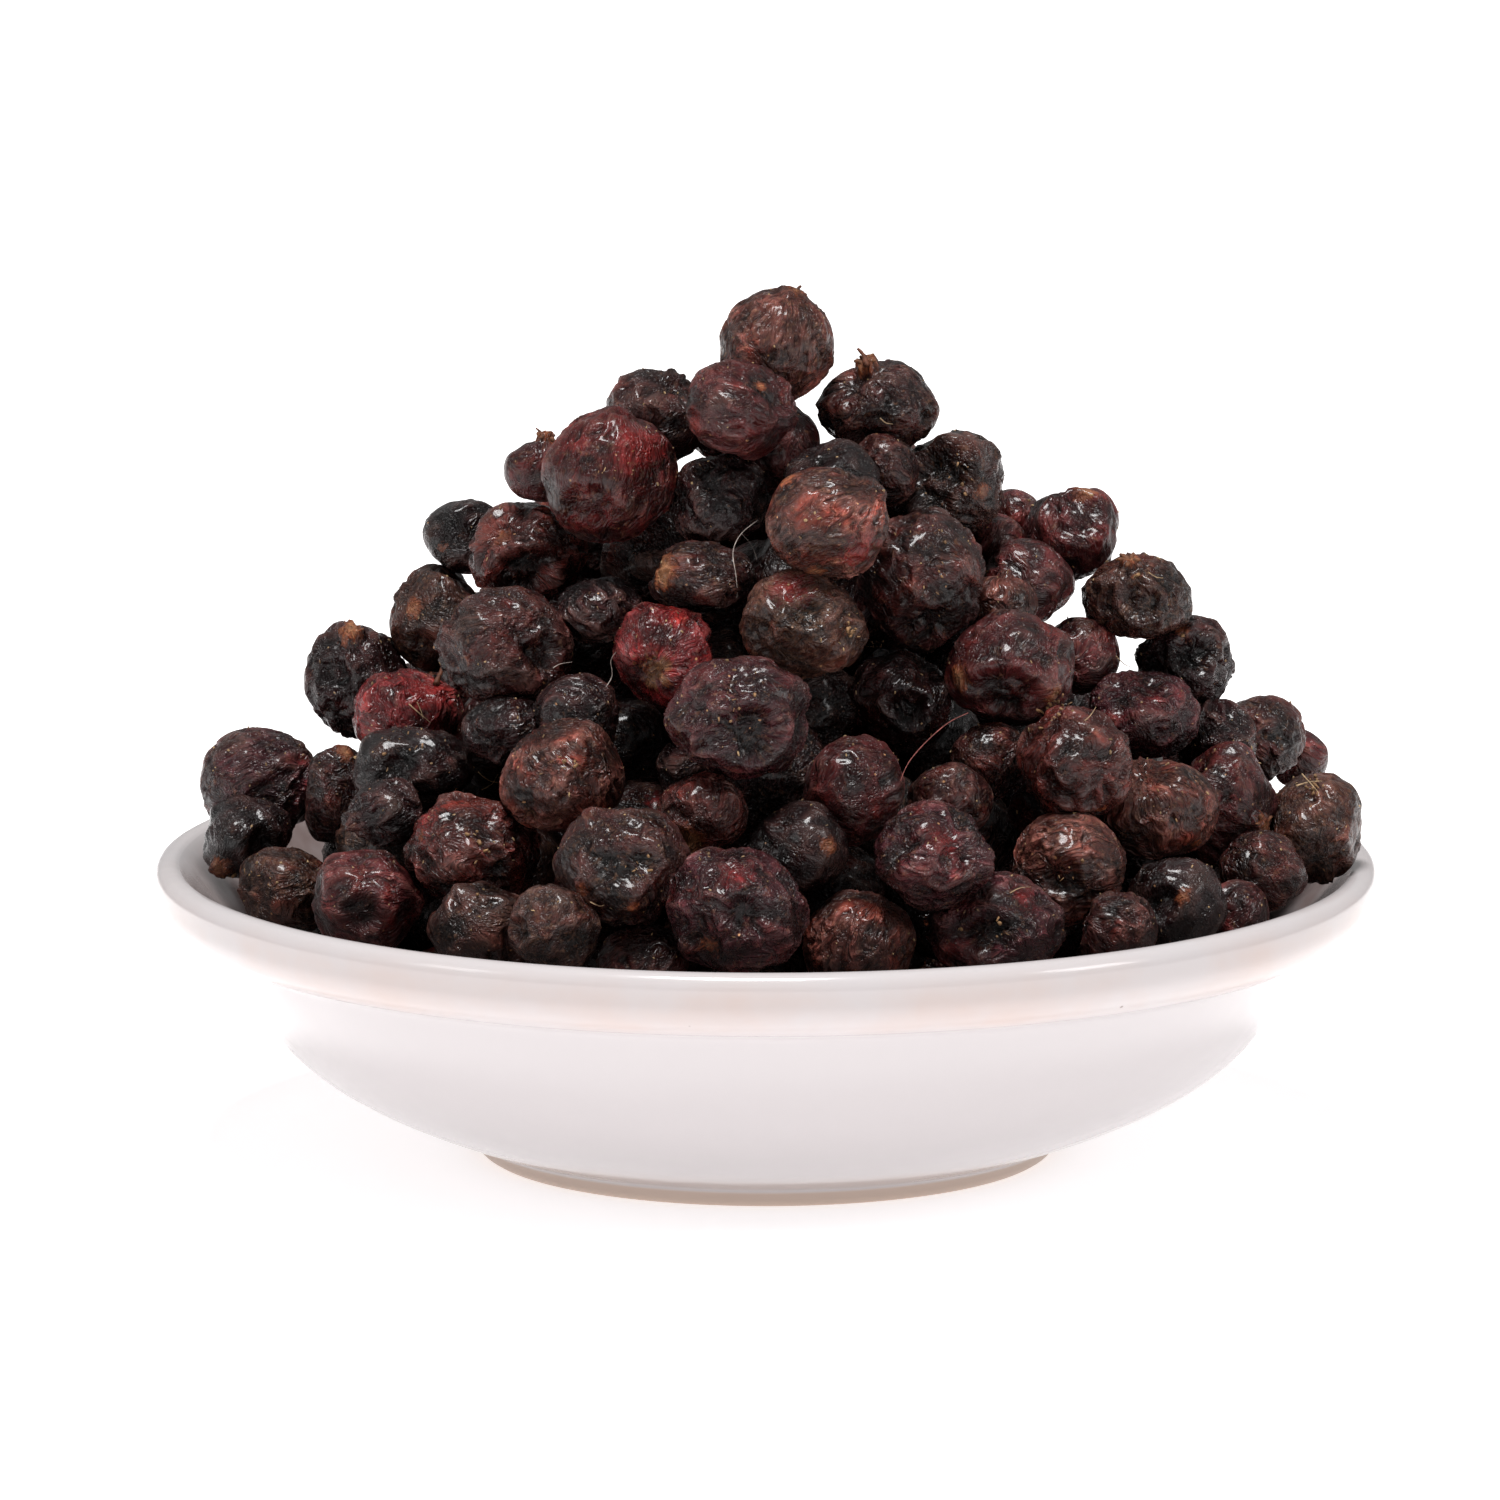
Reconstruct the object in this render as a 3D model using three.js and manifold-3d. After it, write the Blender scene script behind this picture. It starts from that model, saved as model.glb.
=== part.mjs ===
// A small white glazed bowl, heaped with dried sour cherries.
// Millimetres, +Z up. The origin is the middle of the foot's underside, and -Y is the side that the photograph shows.
import * as THREE from "three";
import { mergeVertices } from "three/addons/utils/BufferGeometryUtils.js";
import Module from "manifold-3d";

const wasm = await Module();
wasm.setup();

const bowl = {
  mouth: [58.4, 29.2], // radius and height where the inner wall meets the rim
  crest: [59.5, 29.55],
  floor: 3.9, // the inside's lowest point
  wallSlope: 1.4, // rise over run of the inner wall near the mouth
  bendRadius: 41.5, // where the inner floor turns up into the wall
  bend: 12, // how wide that turn is
  footHollow: 1.2, // how far the underside stands over the table within the foot
  footInnerRadius: 25.2,
  sides: 48,
  bodySteps: 4,
  wallRadii: [52, 45, 37, 22],
  color: "#e9e3e2",
};

// The rim's outside, from the crest out to its widest circle and back to the step over the body
const rimOutline = [
  [60.3, 29.3],
  [60.85, 28.6],
  [61, 27.6],
  [60.8, 25.9],
  [59.7, 24.1],
  [58, 23.05],
  [56, 22.65],
];

// The body's outside, an S from under the rim to the foot, and the foot ring's edge
const bodyOutline = [
  [55.4, 22.45],
  [49.8, 12.2],
  [46.6, 7.4],
  [29.5, 1.9],
];
const footOutline = [
  [29.1, 1.5],
  [28.7, 0.5],
  [28, 0],
];

// The photograph, in pixels of its 1500 by 1500 frame
const photo = {
  middle: 750,
  pixel: 0.0995, // millimetres that a pixel spans at the bowl's axis
};

// The viewer, who looks along +Y and a little down at the point that the photograph's middle shows
const viewer = {
  distance: 1500,
  sine: 0.18, // of the angle that the view looks down by
  target: [-1.6, 0, 40.4],
};

// The cherries that the photograph shows. Each row is one: the column and row of its middle, its width and its
// height in pixels, and how many millimetres it stands nearer than the heap's slope.
const seenCherries = [
  [778, 346, 112, 114, 0],
  [742, 410, 108, 101, 3],
  [876, 404, 113, 93, 1],
  [656, 417, 100, 95, -2],
  [775, 447, 88, 88, -7],
  [832, 486, 100, 94, -2],
  [604, 473, 131, 132, 3],
  [538, 470, 70, 66, -3],
  [726, 503, 98, 88, 0],
  [825, 522, 122, 108, 2],
  [953, 487, 112, 112, 1],
  [885, 468, 70, 70, -5],
  [1013, 519, 60, 60, -5],
  [1074, 535, 98, 100, 0],
  [1028, 582, 90, 86, 0],
  [992, 546, 66, 66, -4],
  [924, 578, 124, 134, 2],
  [1135, 596, 104, 94, -2],
  [1186, 664, 94, 92, -3],
  [1014, 673, 125, 118, 2],
  [1082, 654, 76, 78, -3],
  [1002, 606, 72, 66, -4],
  [905, 700, 100, 96, -1],
  [1142, 716, 118, 92, 0],
  [1077, 763, 110, 116, 1],
  [705, 580, 108, 80, 0],
  [803, 628, 128, 104, 2],
  [667, 656, 106, 118, 1],
  [603, 609, 90, 70, -2],
  [469, 528, 84, 77, -2],
  [530, 553, 114, 102, 1],
  [440, 617, 96, 104, -1],
  [505, 647, 126, 122, 3],
  [350, 684, 100, 106, -2],
  [405, 712, 106, 92, -1],
  [578, 716, 84, 80, -4],
  [505, 732, 84, 70, -5],
  [740, 717, 139, 128, 3],
  [560, 777, 120, 116, 1],
  [416, 770, 126, 96, 1],
  [392, 812, 80, 66, 0],
  [337, 794, 76, 100, -1],
  [259, 784, 118, 108, -2],
  [246, 838, 96, 88, 1],
  [287, 890, 100, 96, 1],
  [366, 904, 106, 116, 2],
  [473, 848, 132, 120, 2],
  [482, 930, 104, 96, 3],
  [554, 928, 92, 90, 2],
  [622, 864, 130, 122, 1],
  [738, 907, 140, 132, 4],
  [795, 848, 114, 92, -1],
  [856, 788, 96, 108, 1],
  [860, 945, 114, 104, 2],
  [642, 970, 92, 88, 3],
  [700, 812, 88, 80, -5],
  [688, 768, 66, 66, -4],
  [950, 798, 84, 84, -4],
  [935, 854, 123, 106, 2],
  [996, 932, 144, 116, 3],
  [1068, 872, 115, 112, 2],
  [1158, 812, 117, 102, 2],
  [1222, 805, 102, 124, 0],
  [1258, 741, 92, 88, -2],
  [1218, 742, 84, 78, -3],
  [1299, 758, 59, 60, -5],
  [1314, 828, 96, 110, 0],
  [1176, 908, 100, 104, 1],
  [1236, 914, 66, 66, 0],
  [1048, 812, 74, 70, -4],
  [1118, 930, 82, 80, -2],
  [1262, 870, 84, 76, -4],
  [990, 762, 78, 78, -5],
];

// Columns and rows where the background shows between cherries, and how wide a line of sight stays clear there
const gaps = {
  places: [
    [814, 424],
    [686, 474],
    [1078, 604],
    [1125, 660],
    [331, 743],
  ],
  clearance: 1.2,
};

// The heap, a cone with a round top, given for the middles of the cherries at its surface
const heap = {
  top: 82.5,
  foot: 30.5, // where the slope meets the bowl
  footRadius: 56,
  roundness: 1.14,
  cover: 5, // how much deeper the unseen cherries lie at the front
  rind: 6, // how deep the layers within the heap start
  skin: 10, // how deep the outer cherries reach
};

// The unseen cherries, which lie over the rest of the slope and, in layers, within the heap. Each is moved and
// sized by a seeded draw.
const fill = {
  seed: 20261,
  onSlope: 132,
  turn: [-0.7373688780783197, 0.6754902942615238], // cosine and sine of the golden angle
  spacing: 13.7,
  layer: 11,
  lowest: 10.8,
  layers: 7,
  rows: 5,
  jitter: 2.2,
  smallest: 5, // radius
  spread: 1.5,
  deepest: 1.12, // how much larger the inmost are
  crowding: 0.8, // how near two may start, as a share of their radii together
};

const settling = {
  rounds: 420,
  still: 260, // the last rounds, in which nothing pulls
  seenPull: 0.03,
  pull: 0.004,
  refresh: 20, // rounds between two searches for neighbours
  reach: 3,
  gap: 0.3, // between cherries of different clumps
  sink: 0.5, // how far cherries of one clump are pressed into each other
};

const clumping = {
  sizes: [4, 5, 7],
  most: 58,
  near: 2.6, // the widest space that a clump closes
};

// A cherry's form: two sides pressed in and a hollow at the stalk's end
const dents = {
  stalk: { depth: 0.15, edge: 0.72 },
  side: { depth: 0.07, edge: 0.25 },
};
const faces = { outer: [7, 5], deep: [5, 4] }; // segments and rings
const neck = 0.6; // how far from its holder's middle a stuck cherry's point ends, as a share of the holder
const tones = ["#3a2226", "#2b1a1d", "#4a2a24", "#33201f", "#5a2422"];

// A seeded draw from 0 to 1
let drawn = fill.seed;
function draw() {
  drawn = (drawn * 16807) % 2147483647;
  return drawn / 2147483647;
}

function size(v) {
  return Math.sqrt(v[0] * v[0] + v[1] * v[1] + v[2] * v[2]);
}

function between(a, b) {
  return [b[0] - a[0], b[1] - a[1], b[2] - a[2]];
}

function shift(point, way, step) {
  for (let k = 0; k < 3; k += 1) point[k] += way[k] * step;
}

function drawWay() {
  const v = [draw() - 0.5, draw() - 0.5, draw() - 0.5];
  const length = size(v);
  return v.map((value) => value / length);
}

// The line of sight through a pixel: a point on it abreast of the axis, and its direction away from the viewer
function sightLine(column, row) {
  const level = Math.sqrt(1 - viewer.sine * viewer.sine);
  const across = (column - photo.middle) * photo.pixel;
  const up = (photo.middle - row) * photo.pixel;
  const [x, y, z] = viewer.target;
  const point = [x + across, y + up * viewer.sine, z + up * level];
  const eye = [x, y - viewer.distance * level, z + viewer.distance * viewer.sine];
  const way = between(eye, point);
  const length = size(way);
  return { point, way: way.map((value) => value / length) };
}

function along(line, depth) {
  return line.point.map((value, k) => value + line.way[k] * depth);
}

function nearestOnLine(line, at) {
  const v = between(line.point, at);
  return along(line, v[0] * line.way[0] + v[1] * line.way[1] + v[2] * line.way[2]);
}

// The heap's radius at a height
function heapRadius(z) {
  const rise = (z - heap.foot) / (heap.top - heap.foot);
  if (rise >= 1) return 0;
  if (rise <= 0) return heap.footRadius;
  return heap.footRadius * Math.sqrt((1 - rise) * (1 - rise / heap.roundness));
}

// How deep a line of sight meets the heap's slope, or where it passes nearest to it
function slopeDepth(line) {
  let nearest = 1e9;
  let found = 0;
  for (let depth = -75; depth < 55; depth += 0.5) {
    const [x, y, z] = along(line, depth);
    const over = Math.sqrt(x * x + y * y) - heapRadius(z);
    if (over <= 0) return depth;
    if (over < nearest) {
      nearest = over;
      found = depth;
    }
  }
  return found;
}

function placeSeen() {
  return seenCherries.map(([column, row, width, height, nearer]) => {
    const line = sightLine(column, row);
    const depth = slopeDepth(line) - nearer;
    const widest = Math.max(width, height);
    const radius = (widest / 2) * photo.pixel * (1 + depth / viewer.distance);
    const shape = [width / widest, (width + height) / (2 * widest), height / widest];
    return { at: along(line, depth), radius, shape, line, deep: false };
  });
}

// The inner wall's height at a distance from the axis, and its steepness there
function innerWall(radius) {
  const from = radius - bowl.bendRadius;
  const root = Math.sqrt(from * from + bowl.bend * bowl.bend);
  const middle = Math.sqrt(bowl.bendRadius * bowl.bendRadius + bowl.bend * bowl.bend);
  const rise = (from + root) - (middle - bowl.bendRadius);
  return { height: bowl.floor + (bowl.wallSlope / 2) * rise, slope: (bowl.wallSlope / 2) * (1 + from / root) };
}

// How far a point is inside the bowl, square to the inner wall
function wallClearance(at) {
  const { height, slope } = innerWall(Math.sqrt(at[0] * at[0] + at[1] * at[1]));
  return (at[2] - height) / Math.sqrt(1 + slope * slope);
}

// How far from the axis an unseen cherry's middle may be
function unseenLimit(at) {
  const radius = Math.sqrt(at[0] * at[0] + at[1] * at[1]) + 0.001;
  const front = Math.max(0, Math.min(1, 0.6 - (1.2 * at[1]) / radius));
  return Math.max(0.001, heapRadius(at[2]) - front * heap.cover);
}

// Places over the heap's slope, in a spiral that keeps them evenly apart
function slopePlaces() {
  const [turnX, turnY] = fill.turn;
  const places = [];
  let x = 1;
  let y = 0;
  let z = heap.top;
  for (let k = 1; k < fill.onSlope; k += 1) {
    const radius = heap.footRadius * Math.sqrt(k / fill.onSlope);
    [x, y] = [x * turnX - y * turnY, x * turnY + y * turnX];
    while (heapRadius(z) < radius) z -= 0.1;
    const inwards = 1 - (fill.jitter * draw()) / radius;
    places.push([x * radius * inwards, y * radius * inwards, z]);
  }
  return places;
}

// Places inside the heap and the bowl, in layers of staggered rows
function corePlaces() {
  const places = [];
  for (let layer = 0; layer < fill.layers; layer += 1) {
    for (let i = -fill.rows; i <= fill.rows; i += 1) {
      for (let j = -fill.rows; j <= fill.rows; j += 1) {
        const odd = layer % 2;
        const x = (i + 0.5 * odd + 0.5 * Math.abs(j % 2)) * fill.spacing + (draw() - 0.5) * fill.jitter;
        const y = (j * 0.866 + 0.58 * odd) * fill.spacing + (draw() - 0.5) * fill.jitter;
        const z = fill.lowest + layer * fill.layer + (draw() - 0.5) * fill.jitter;
        if (heapRadius(z) - Math.sqrt(x * x + y * y) > heap.rind) places.push([x, y, z]);
      }
    }
  }
  return places;
}

function placeUnseen(seen) {
  const found = [];
  for (const at of [...slopePlaces(), ...corePlaces()]) {
    const away = Math.sqrt(at[0] * at[0] + at[1] * at[1]);
    const deep = heapRadius(at[2]) - away > heap.skin || at[2] < heap.foot - heap.skin;
    const radius = (fill.smallest + draw() * fill.spread) * (deep ? fill.deepest : 1);
    const shape = [0.88 + draw() * 0.12, 0.88 + draw() * 0.12, 0.85 + draw() * 0.15];
    if (away > unseenLimit(at) + 0.01 || wallClearance(at) < radius * 0.3) continue;
    if ([...seen, ...found].some((one) => size(between(one.at, at)) < (one.radius + radius) * fill.crowding)) continue;
    found.push({ at, radius, shape, line: null, deep });
  }
  return found;
}

function keepInBowl(one) {
  const [x, y] = one.at;
  const radius = Math.sqrt(x * x + y * y) + 0.001;
  const short = one.radius + settling.gap - wallClearance(one.at);
  if (short <= 0) return;
  const { slope } = innerWall(radius);
  const length = Math.sqrt(1 + slope * slope);
  shift(one.at, [(-x / radius) * (slope / length), (-y / radius) * (slope / length), 1 / length], short);
}

function keepInHeap(one) {
  const radius = Math.sqrt(one.at[0] * one.at[0] + one.at[1] * one.at[1]) + 0.001;
  const over = radius - unseenLimit(one.at);
  if (over <= 0) return;
  shift(one.at, [one.at[0] / radius, one.at[1] / radius, 0], -Math.min(0.4, over));
}

function keepOffGap(one, line) {
  const way = between(nearestOnLine(line, one.at), one.at);
  const away = size(way) + 0.001;
  const short = one.radius + gaps.clearance - away;
  if (short > 0) shift(one.at, way, Math.min(short, 0.4) / away);
}

// Half of a cherry's thickness along a direction
function halfThickness(one, way) {
  return one.radius * size([one.shape[0] * way[0], one.shape[1] * way[1], one.shape[2] * way[2]]);
}

// The direction from one cherry to another, and the space between them
function facing(a, b) {
  const v = between(a.at, b.at);
  const apart = size(v);
  const way = v.map((value) => value / apart);
  return { way, apart, free: apart - halfThickness(a, way) - halfThickness(b, way) };
}

function findPairs(all, reach) {
  const pairs = [];
  for (let i = 0; i < all.length; i += 1) {
    for (let j = i + 1; j < all.length; j += 1) {
      const apart = size(between(all[i].at, all[j].at));
      if (apart < all[i].radius + all[j].radius + reach) pairs.push([i, j]);
    }
  }
  return pairs;
}

// Lets the cherries settle. They are pulled down and inwards or, where seen, along their line of sight, and are
// pushed apart where they would overlap. Those that are stuck together are held so.
function settle(all, stuck) {
  const lines = gaps.places.map(([column, row]) => sightLine(column, row));
  let pairs = [];
  for (let round = 0; round < settling.rounds + settling.still; round += 1) {
    if (round % settling.refresh === 0) pairs = findPairs(all, settling.reach);
    const pulls = round < settling.rounds;
    for (const one of all) {
      if (pulls && one.line) shift(one.at, one.line.way, one.at[1] < 0 ? settling.seenPull : -settling.seenPull);
      const radius = Math.sqrt(one.at[0] * one.at[0] + one.at[1] * one.at[1]) + 0.001;
      if (pulls && !one.line) shift(one.at, [-one.at[0] / radius, -one.at[1] / radius, -1], settling.pull);
    }
    for (const [i, j] of pairs) {
      const { way, free } = facing(all[i], all[j]);
      const held = stuck.has(i * 1000 + j);
      const short = (held ? -settling.sink : settling.gap) - free;
      if (short <= 0 && !held) continue;
      shift(all[i].at, way, -short / 2);
      shift(all[j].at, way, short / 2);
    }
    for (const one of all) {
      if (one.line) {
        shift(one.at, between(one.at, nearestOnLine(one.line, one.at)), 0.25);
      } else {
        keepInHeap(one);
        for (const line of lines) keepOffGap(one, line);
      }
      keepInBowl(one);
    }
  }
}

// Sorts the cherries into clumps that stick together, the closest neighbours first
function findClumps(all) {
  const clumpOf = all.map((one, i) => [i]);
  const stuck = new Set();
  const close = findPairs(all, clumping.near)
    .map(([i, j]) => ({ i, j, free: facing(all[i], all[j]).free }))
    .filter(({ free }) => free < clumping.near)
    .sort((a, b) => a.free - b.free);
  let count = all.length;
  for (const most of clumping.sizes) {
    for (const { i, j } of close) {
      if (count === clumping.most || clumpOf[i] === clumpOf[j]) continue;
      if (clumpOf[i].length + clumpOf[j].length > most) continue;
      const joined = [...clumpOf[i], ...clumpOf[j]];
      for (const k of joined) clumpOf[k] = joined;
      stuck.add(i * 1000 + j);
      count -= 1;
    }
  }
  return { clumps: [...new Set(clumpOf)], stuck };
}

const seen = placeSeen();
const cherries = [...seen, ...placeUnseen(seen)];
settle(cherries, new Set());
const { clumps, stuck } = findClumps(cherries);
settle(cherries, stuck);
for (const one of cherries) {
  one.dents = [dents.stalk, dents.side, dents.side].map(({ depth, edge }) => ({
    way: drawWay(),
    depth: depth * (0.6 + 0.8 * draw()),
    edge,
  }));
}

// How much of a cherry's radius is left in a direction
function dented(one, way) {
  let left = 1;
  for (const dent of one.dents) {
    const near = way[0] * dent.way[0] + way[1] * dent.way[1] + way[2] * dent.way[2];
    const share = Math.max(0, (near - dent.edge) / (1 - dent.edge));
    left -= dent.depth * share * share * (3 - 2 * share);
  }
  return left;
}

function solidOf(geometry) {
  const vertProperties = new Float32Array(geometry.attributes.position.array);
  const triVerts = new Uint32Array(geometry.index.array);
  return new wasm.Manifold(new wasm.Mesh({ numProp: 3, vertProperties, triVerts }));
}

function geometryOf(solid) {
  const { vertProperties, triVerts } = solid.getMesh();
  const geometry = new THREE.BufferGeometry();
  geometry.setAttribute("position", new THREE.BufferAttribute(vertProperties, 3));
  geometry.setIndex(new THREE.BufferAttribute(triVerts, 1));
  geometry.computeVertexNormals();
  return geometry;
}

// One cherry, with its middle given from that of its clump's first. Where it is stuck to another, a point of it
// reaches on towards the other's middle, so that the two hold together.
function cherrySolid(one, holder, origin) {
  const [segments, rings] = one.deep ? faces.deep : faces.outer;
  const geometry = new THREE.SphereGeometry(1, segments, rings);
  geometry.deleteAttribute("normal");
  geometry.deleteAttribute("uv");
  const ball = mergeVertices(geometry);
  const towards = holder ? facing(one, holder) : { way: [0, 0, -1] };
  const aim = new THREE.Vector3(...towards.way);
  ball.applyQuaternion(new THREE.Quaternion().setFromUnitVectors(new THREE.Vector3(0, 1, 0), aim));
  const middle = new THREE.Vector3(...between(origin, one.at));
  const position = ball.attributes.position;
  for (let k = 0; k < position.count; k += 1) {
    const way = new THREE.Vector3().fromBufferAttribute(position, k);
    const point = way.clone().multiply(new THREE.Vector3(...one.shape));
    point.multiplyScalar(one.radius * dented(one, way.toArray()));
    if (holder && way.dot(aim) > 0.999) {
      point.copy(aim).multiplyScalar(towards.apart - halfThickness(holder, towards.way) * neck);
    }
    position.setXYZ(k, ...point.add(middle));
  }
  return solidOf(ball);
}

function clumpGeometry(clump) {
  const origin = cherries[clump[0]].at;
  const joined = [clump[0]];
  let solid = cherrySolid(cherries[clump[0]], null, origin);
  while (joined.length < clump.length) {
    for (const i of clump.filter((k) => !joined.includes(k))) {
      const holder = joined.find((j) => stuck.has(Math.min(i, j) * 1000 + Math.max(i, j)));
      if (holder === undefined) continue;
      solid = solid.add(cherrySolid(cherries[i], cherries[holder], origin));
      joined.push(i);
    }
  }
  return geometryOf(solid);
}

// The bowl's whole section, from the middle of the underside round the outside to the middle of the floor
function bowlProfile() {
  const point = ([radius, height]) => new THREE.Vector2(radius, height);
  const body = new THREE.CubicBezierCurve(...bodyOutline.map(point)).getPoints(bowl.bodySteps).reverse();
  const wall = bowl.wallRadii.map((radius) => point([radius, innerWall(radius).height]));
  return [
    point([0, bowl.footHollow]),
    point([bowl.footInnerRadius - bowl.footHollow, bowl.footHollow]),
    point([bowl.footInnerRadius, 0]),
    ...footOutline.map(point).reverse(),
    ...body,
    ...rimOutline.map(point).reverse(),
    point(bowl.crest),
    point(bowl.mouth),
    ...wall,
    point([0, bowl.floor]),
  ];
}

function makeBowl() {
  const geometry = new THREE.LatheGeometry(bowlProfile(), bowl.sides);
  const glaze = new THREE.MeshStandardMaterial({ color: bowl.color, roughness: 0.2, metalness: 0 });
  const mesh = new THREE.Mesh(geometry, glaze);
  mesh.name = "bowl";
  mesh.rotation.x = Math.PI / 2;
  return mesh;
}

function makeClump(clump, index) {
  const color = tones[index % tones.length];
  const skin = new THREE.MeshStandardMaterial({ color, roughness: 0.45, metalness: 0 });
  const mesh = new THREE.Mesh(clumpGeometry(clump), skin);
  mesh.name = `cherries_${String(index + 1).padStart(2, "0")}`;
  mesh.position.set(...cherries[clump[0]].at);
  return mesh;
}

const group = new THREE.Group();
group.name = "bowl_of_dried_sour_cherries";
group.add(makeBowl());
clumps.forEach((clump, index) => group.add(makeClump(clump, index)));

export default group;
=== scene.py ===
# A small white glazed bowl, heaped with dried sour cherries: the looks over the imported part.
# Metres, +Z up. The bowl stands at the origin, and -Y is the side that the photograph shows.
import math
import random
from functools import partial

import bpy
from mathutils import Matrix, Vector


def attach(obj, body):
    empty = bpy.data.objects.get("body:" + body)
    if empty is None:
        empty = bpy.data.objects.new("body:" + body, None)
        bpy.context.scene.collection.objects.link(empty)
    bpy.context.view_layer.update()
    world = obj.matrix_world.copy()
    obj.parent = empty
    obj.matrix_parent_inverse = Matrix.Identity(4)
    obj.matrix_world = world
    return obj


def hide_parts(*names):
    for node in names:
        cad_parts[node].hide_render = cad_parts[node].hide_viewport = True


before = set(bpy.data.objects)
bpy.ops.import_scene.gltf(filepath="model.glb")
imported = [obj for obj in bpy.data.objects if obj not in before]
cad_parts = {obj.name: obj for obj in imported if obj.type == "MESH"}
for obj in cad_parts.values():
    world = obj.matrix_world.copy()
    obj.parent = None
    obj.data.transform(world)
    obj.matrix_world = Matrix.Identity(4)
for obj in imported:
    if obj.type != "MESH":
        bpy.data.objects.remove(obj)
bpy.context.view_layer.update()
scene = bpy.context.scene
mm = 0.001

# The photograph, in pixels of its 1500 by 1500 frame, and the viewer, who looks along +Y and a little down at
# the point that the photograph's middle shows. Sizes here and in the heap's rule are millimetres.
photo = {"middle": 750, "pixel": 0.0995}  # millimetres that a pixel spans at the bowl's axis
viewer = {"distance": 1500, "sine": 0.18, "target": (-1.6, 0, 40.4)}

# The bowl's section, as the part has it
bowl = {
    "mouth": (58.4, 29.2),  # radius and height where the inner wall meets the rim
    "crest": (59.5, 29.55),
    "lip": (58.85, 29.48),
    "rim": [(60.3, 29.3), (60.85, 28.6), (61, 27.6), (60.8, 25.9), (59.7, 24.1), (58, 23.05)],
    "step": [(56, 22.65), (55.75, 22.58), (55.5, 22.5)],  # from the rim's underside into the body
    "body": [(55.4, 22.45), (49.8, 12.2), (46.6, 7.4), (29.5, 1.9)],  # a Bezier curve's four points
    "foot": [(29.1, 1.5), (28.7, 0.5), (28, 0)],
    "footFace": [(26.6, 0), (25.2, 0)],
    "hollowEdge": (25.0, 0.12),
    "lipSteps": 4,
    "bodySteps": 40,
    "footSteps": 3,
    "footInnerRadius": 25.2,
    "footHollow": 1.2,
    "floor": 3.9,  # the inside's lowest point
    "wallSlope": 1.4,
    "bendRadius": 41.5,
    "bend": 12,
    "segments": 192,
    "unevenness": 0.05,  # how far the glaze waves, how often round the bowl, its twist and where it ends
    "waves": 3,
    "waveTwist": 0.2,
    "evenBelow": 5,
}

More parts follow.
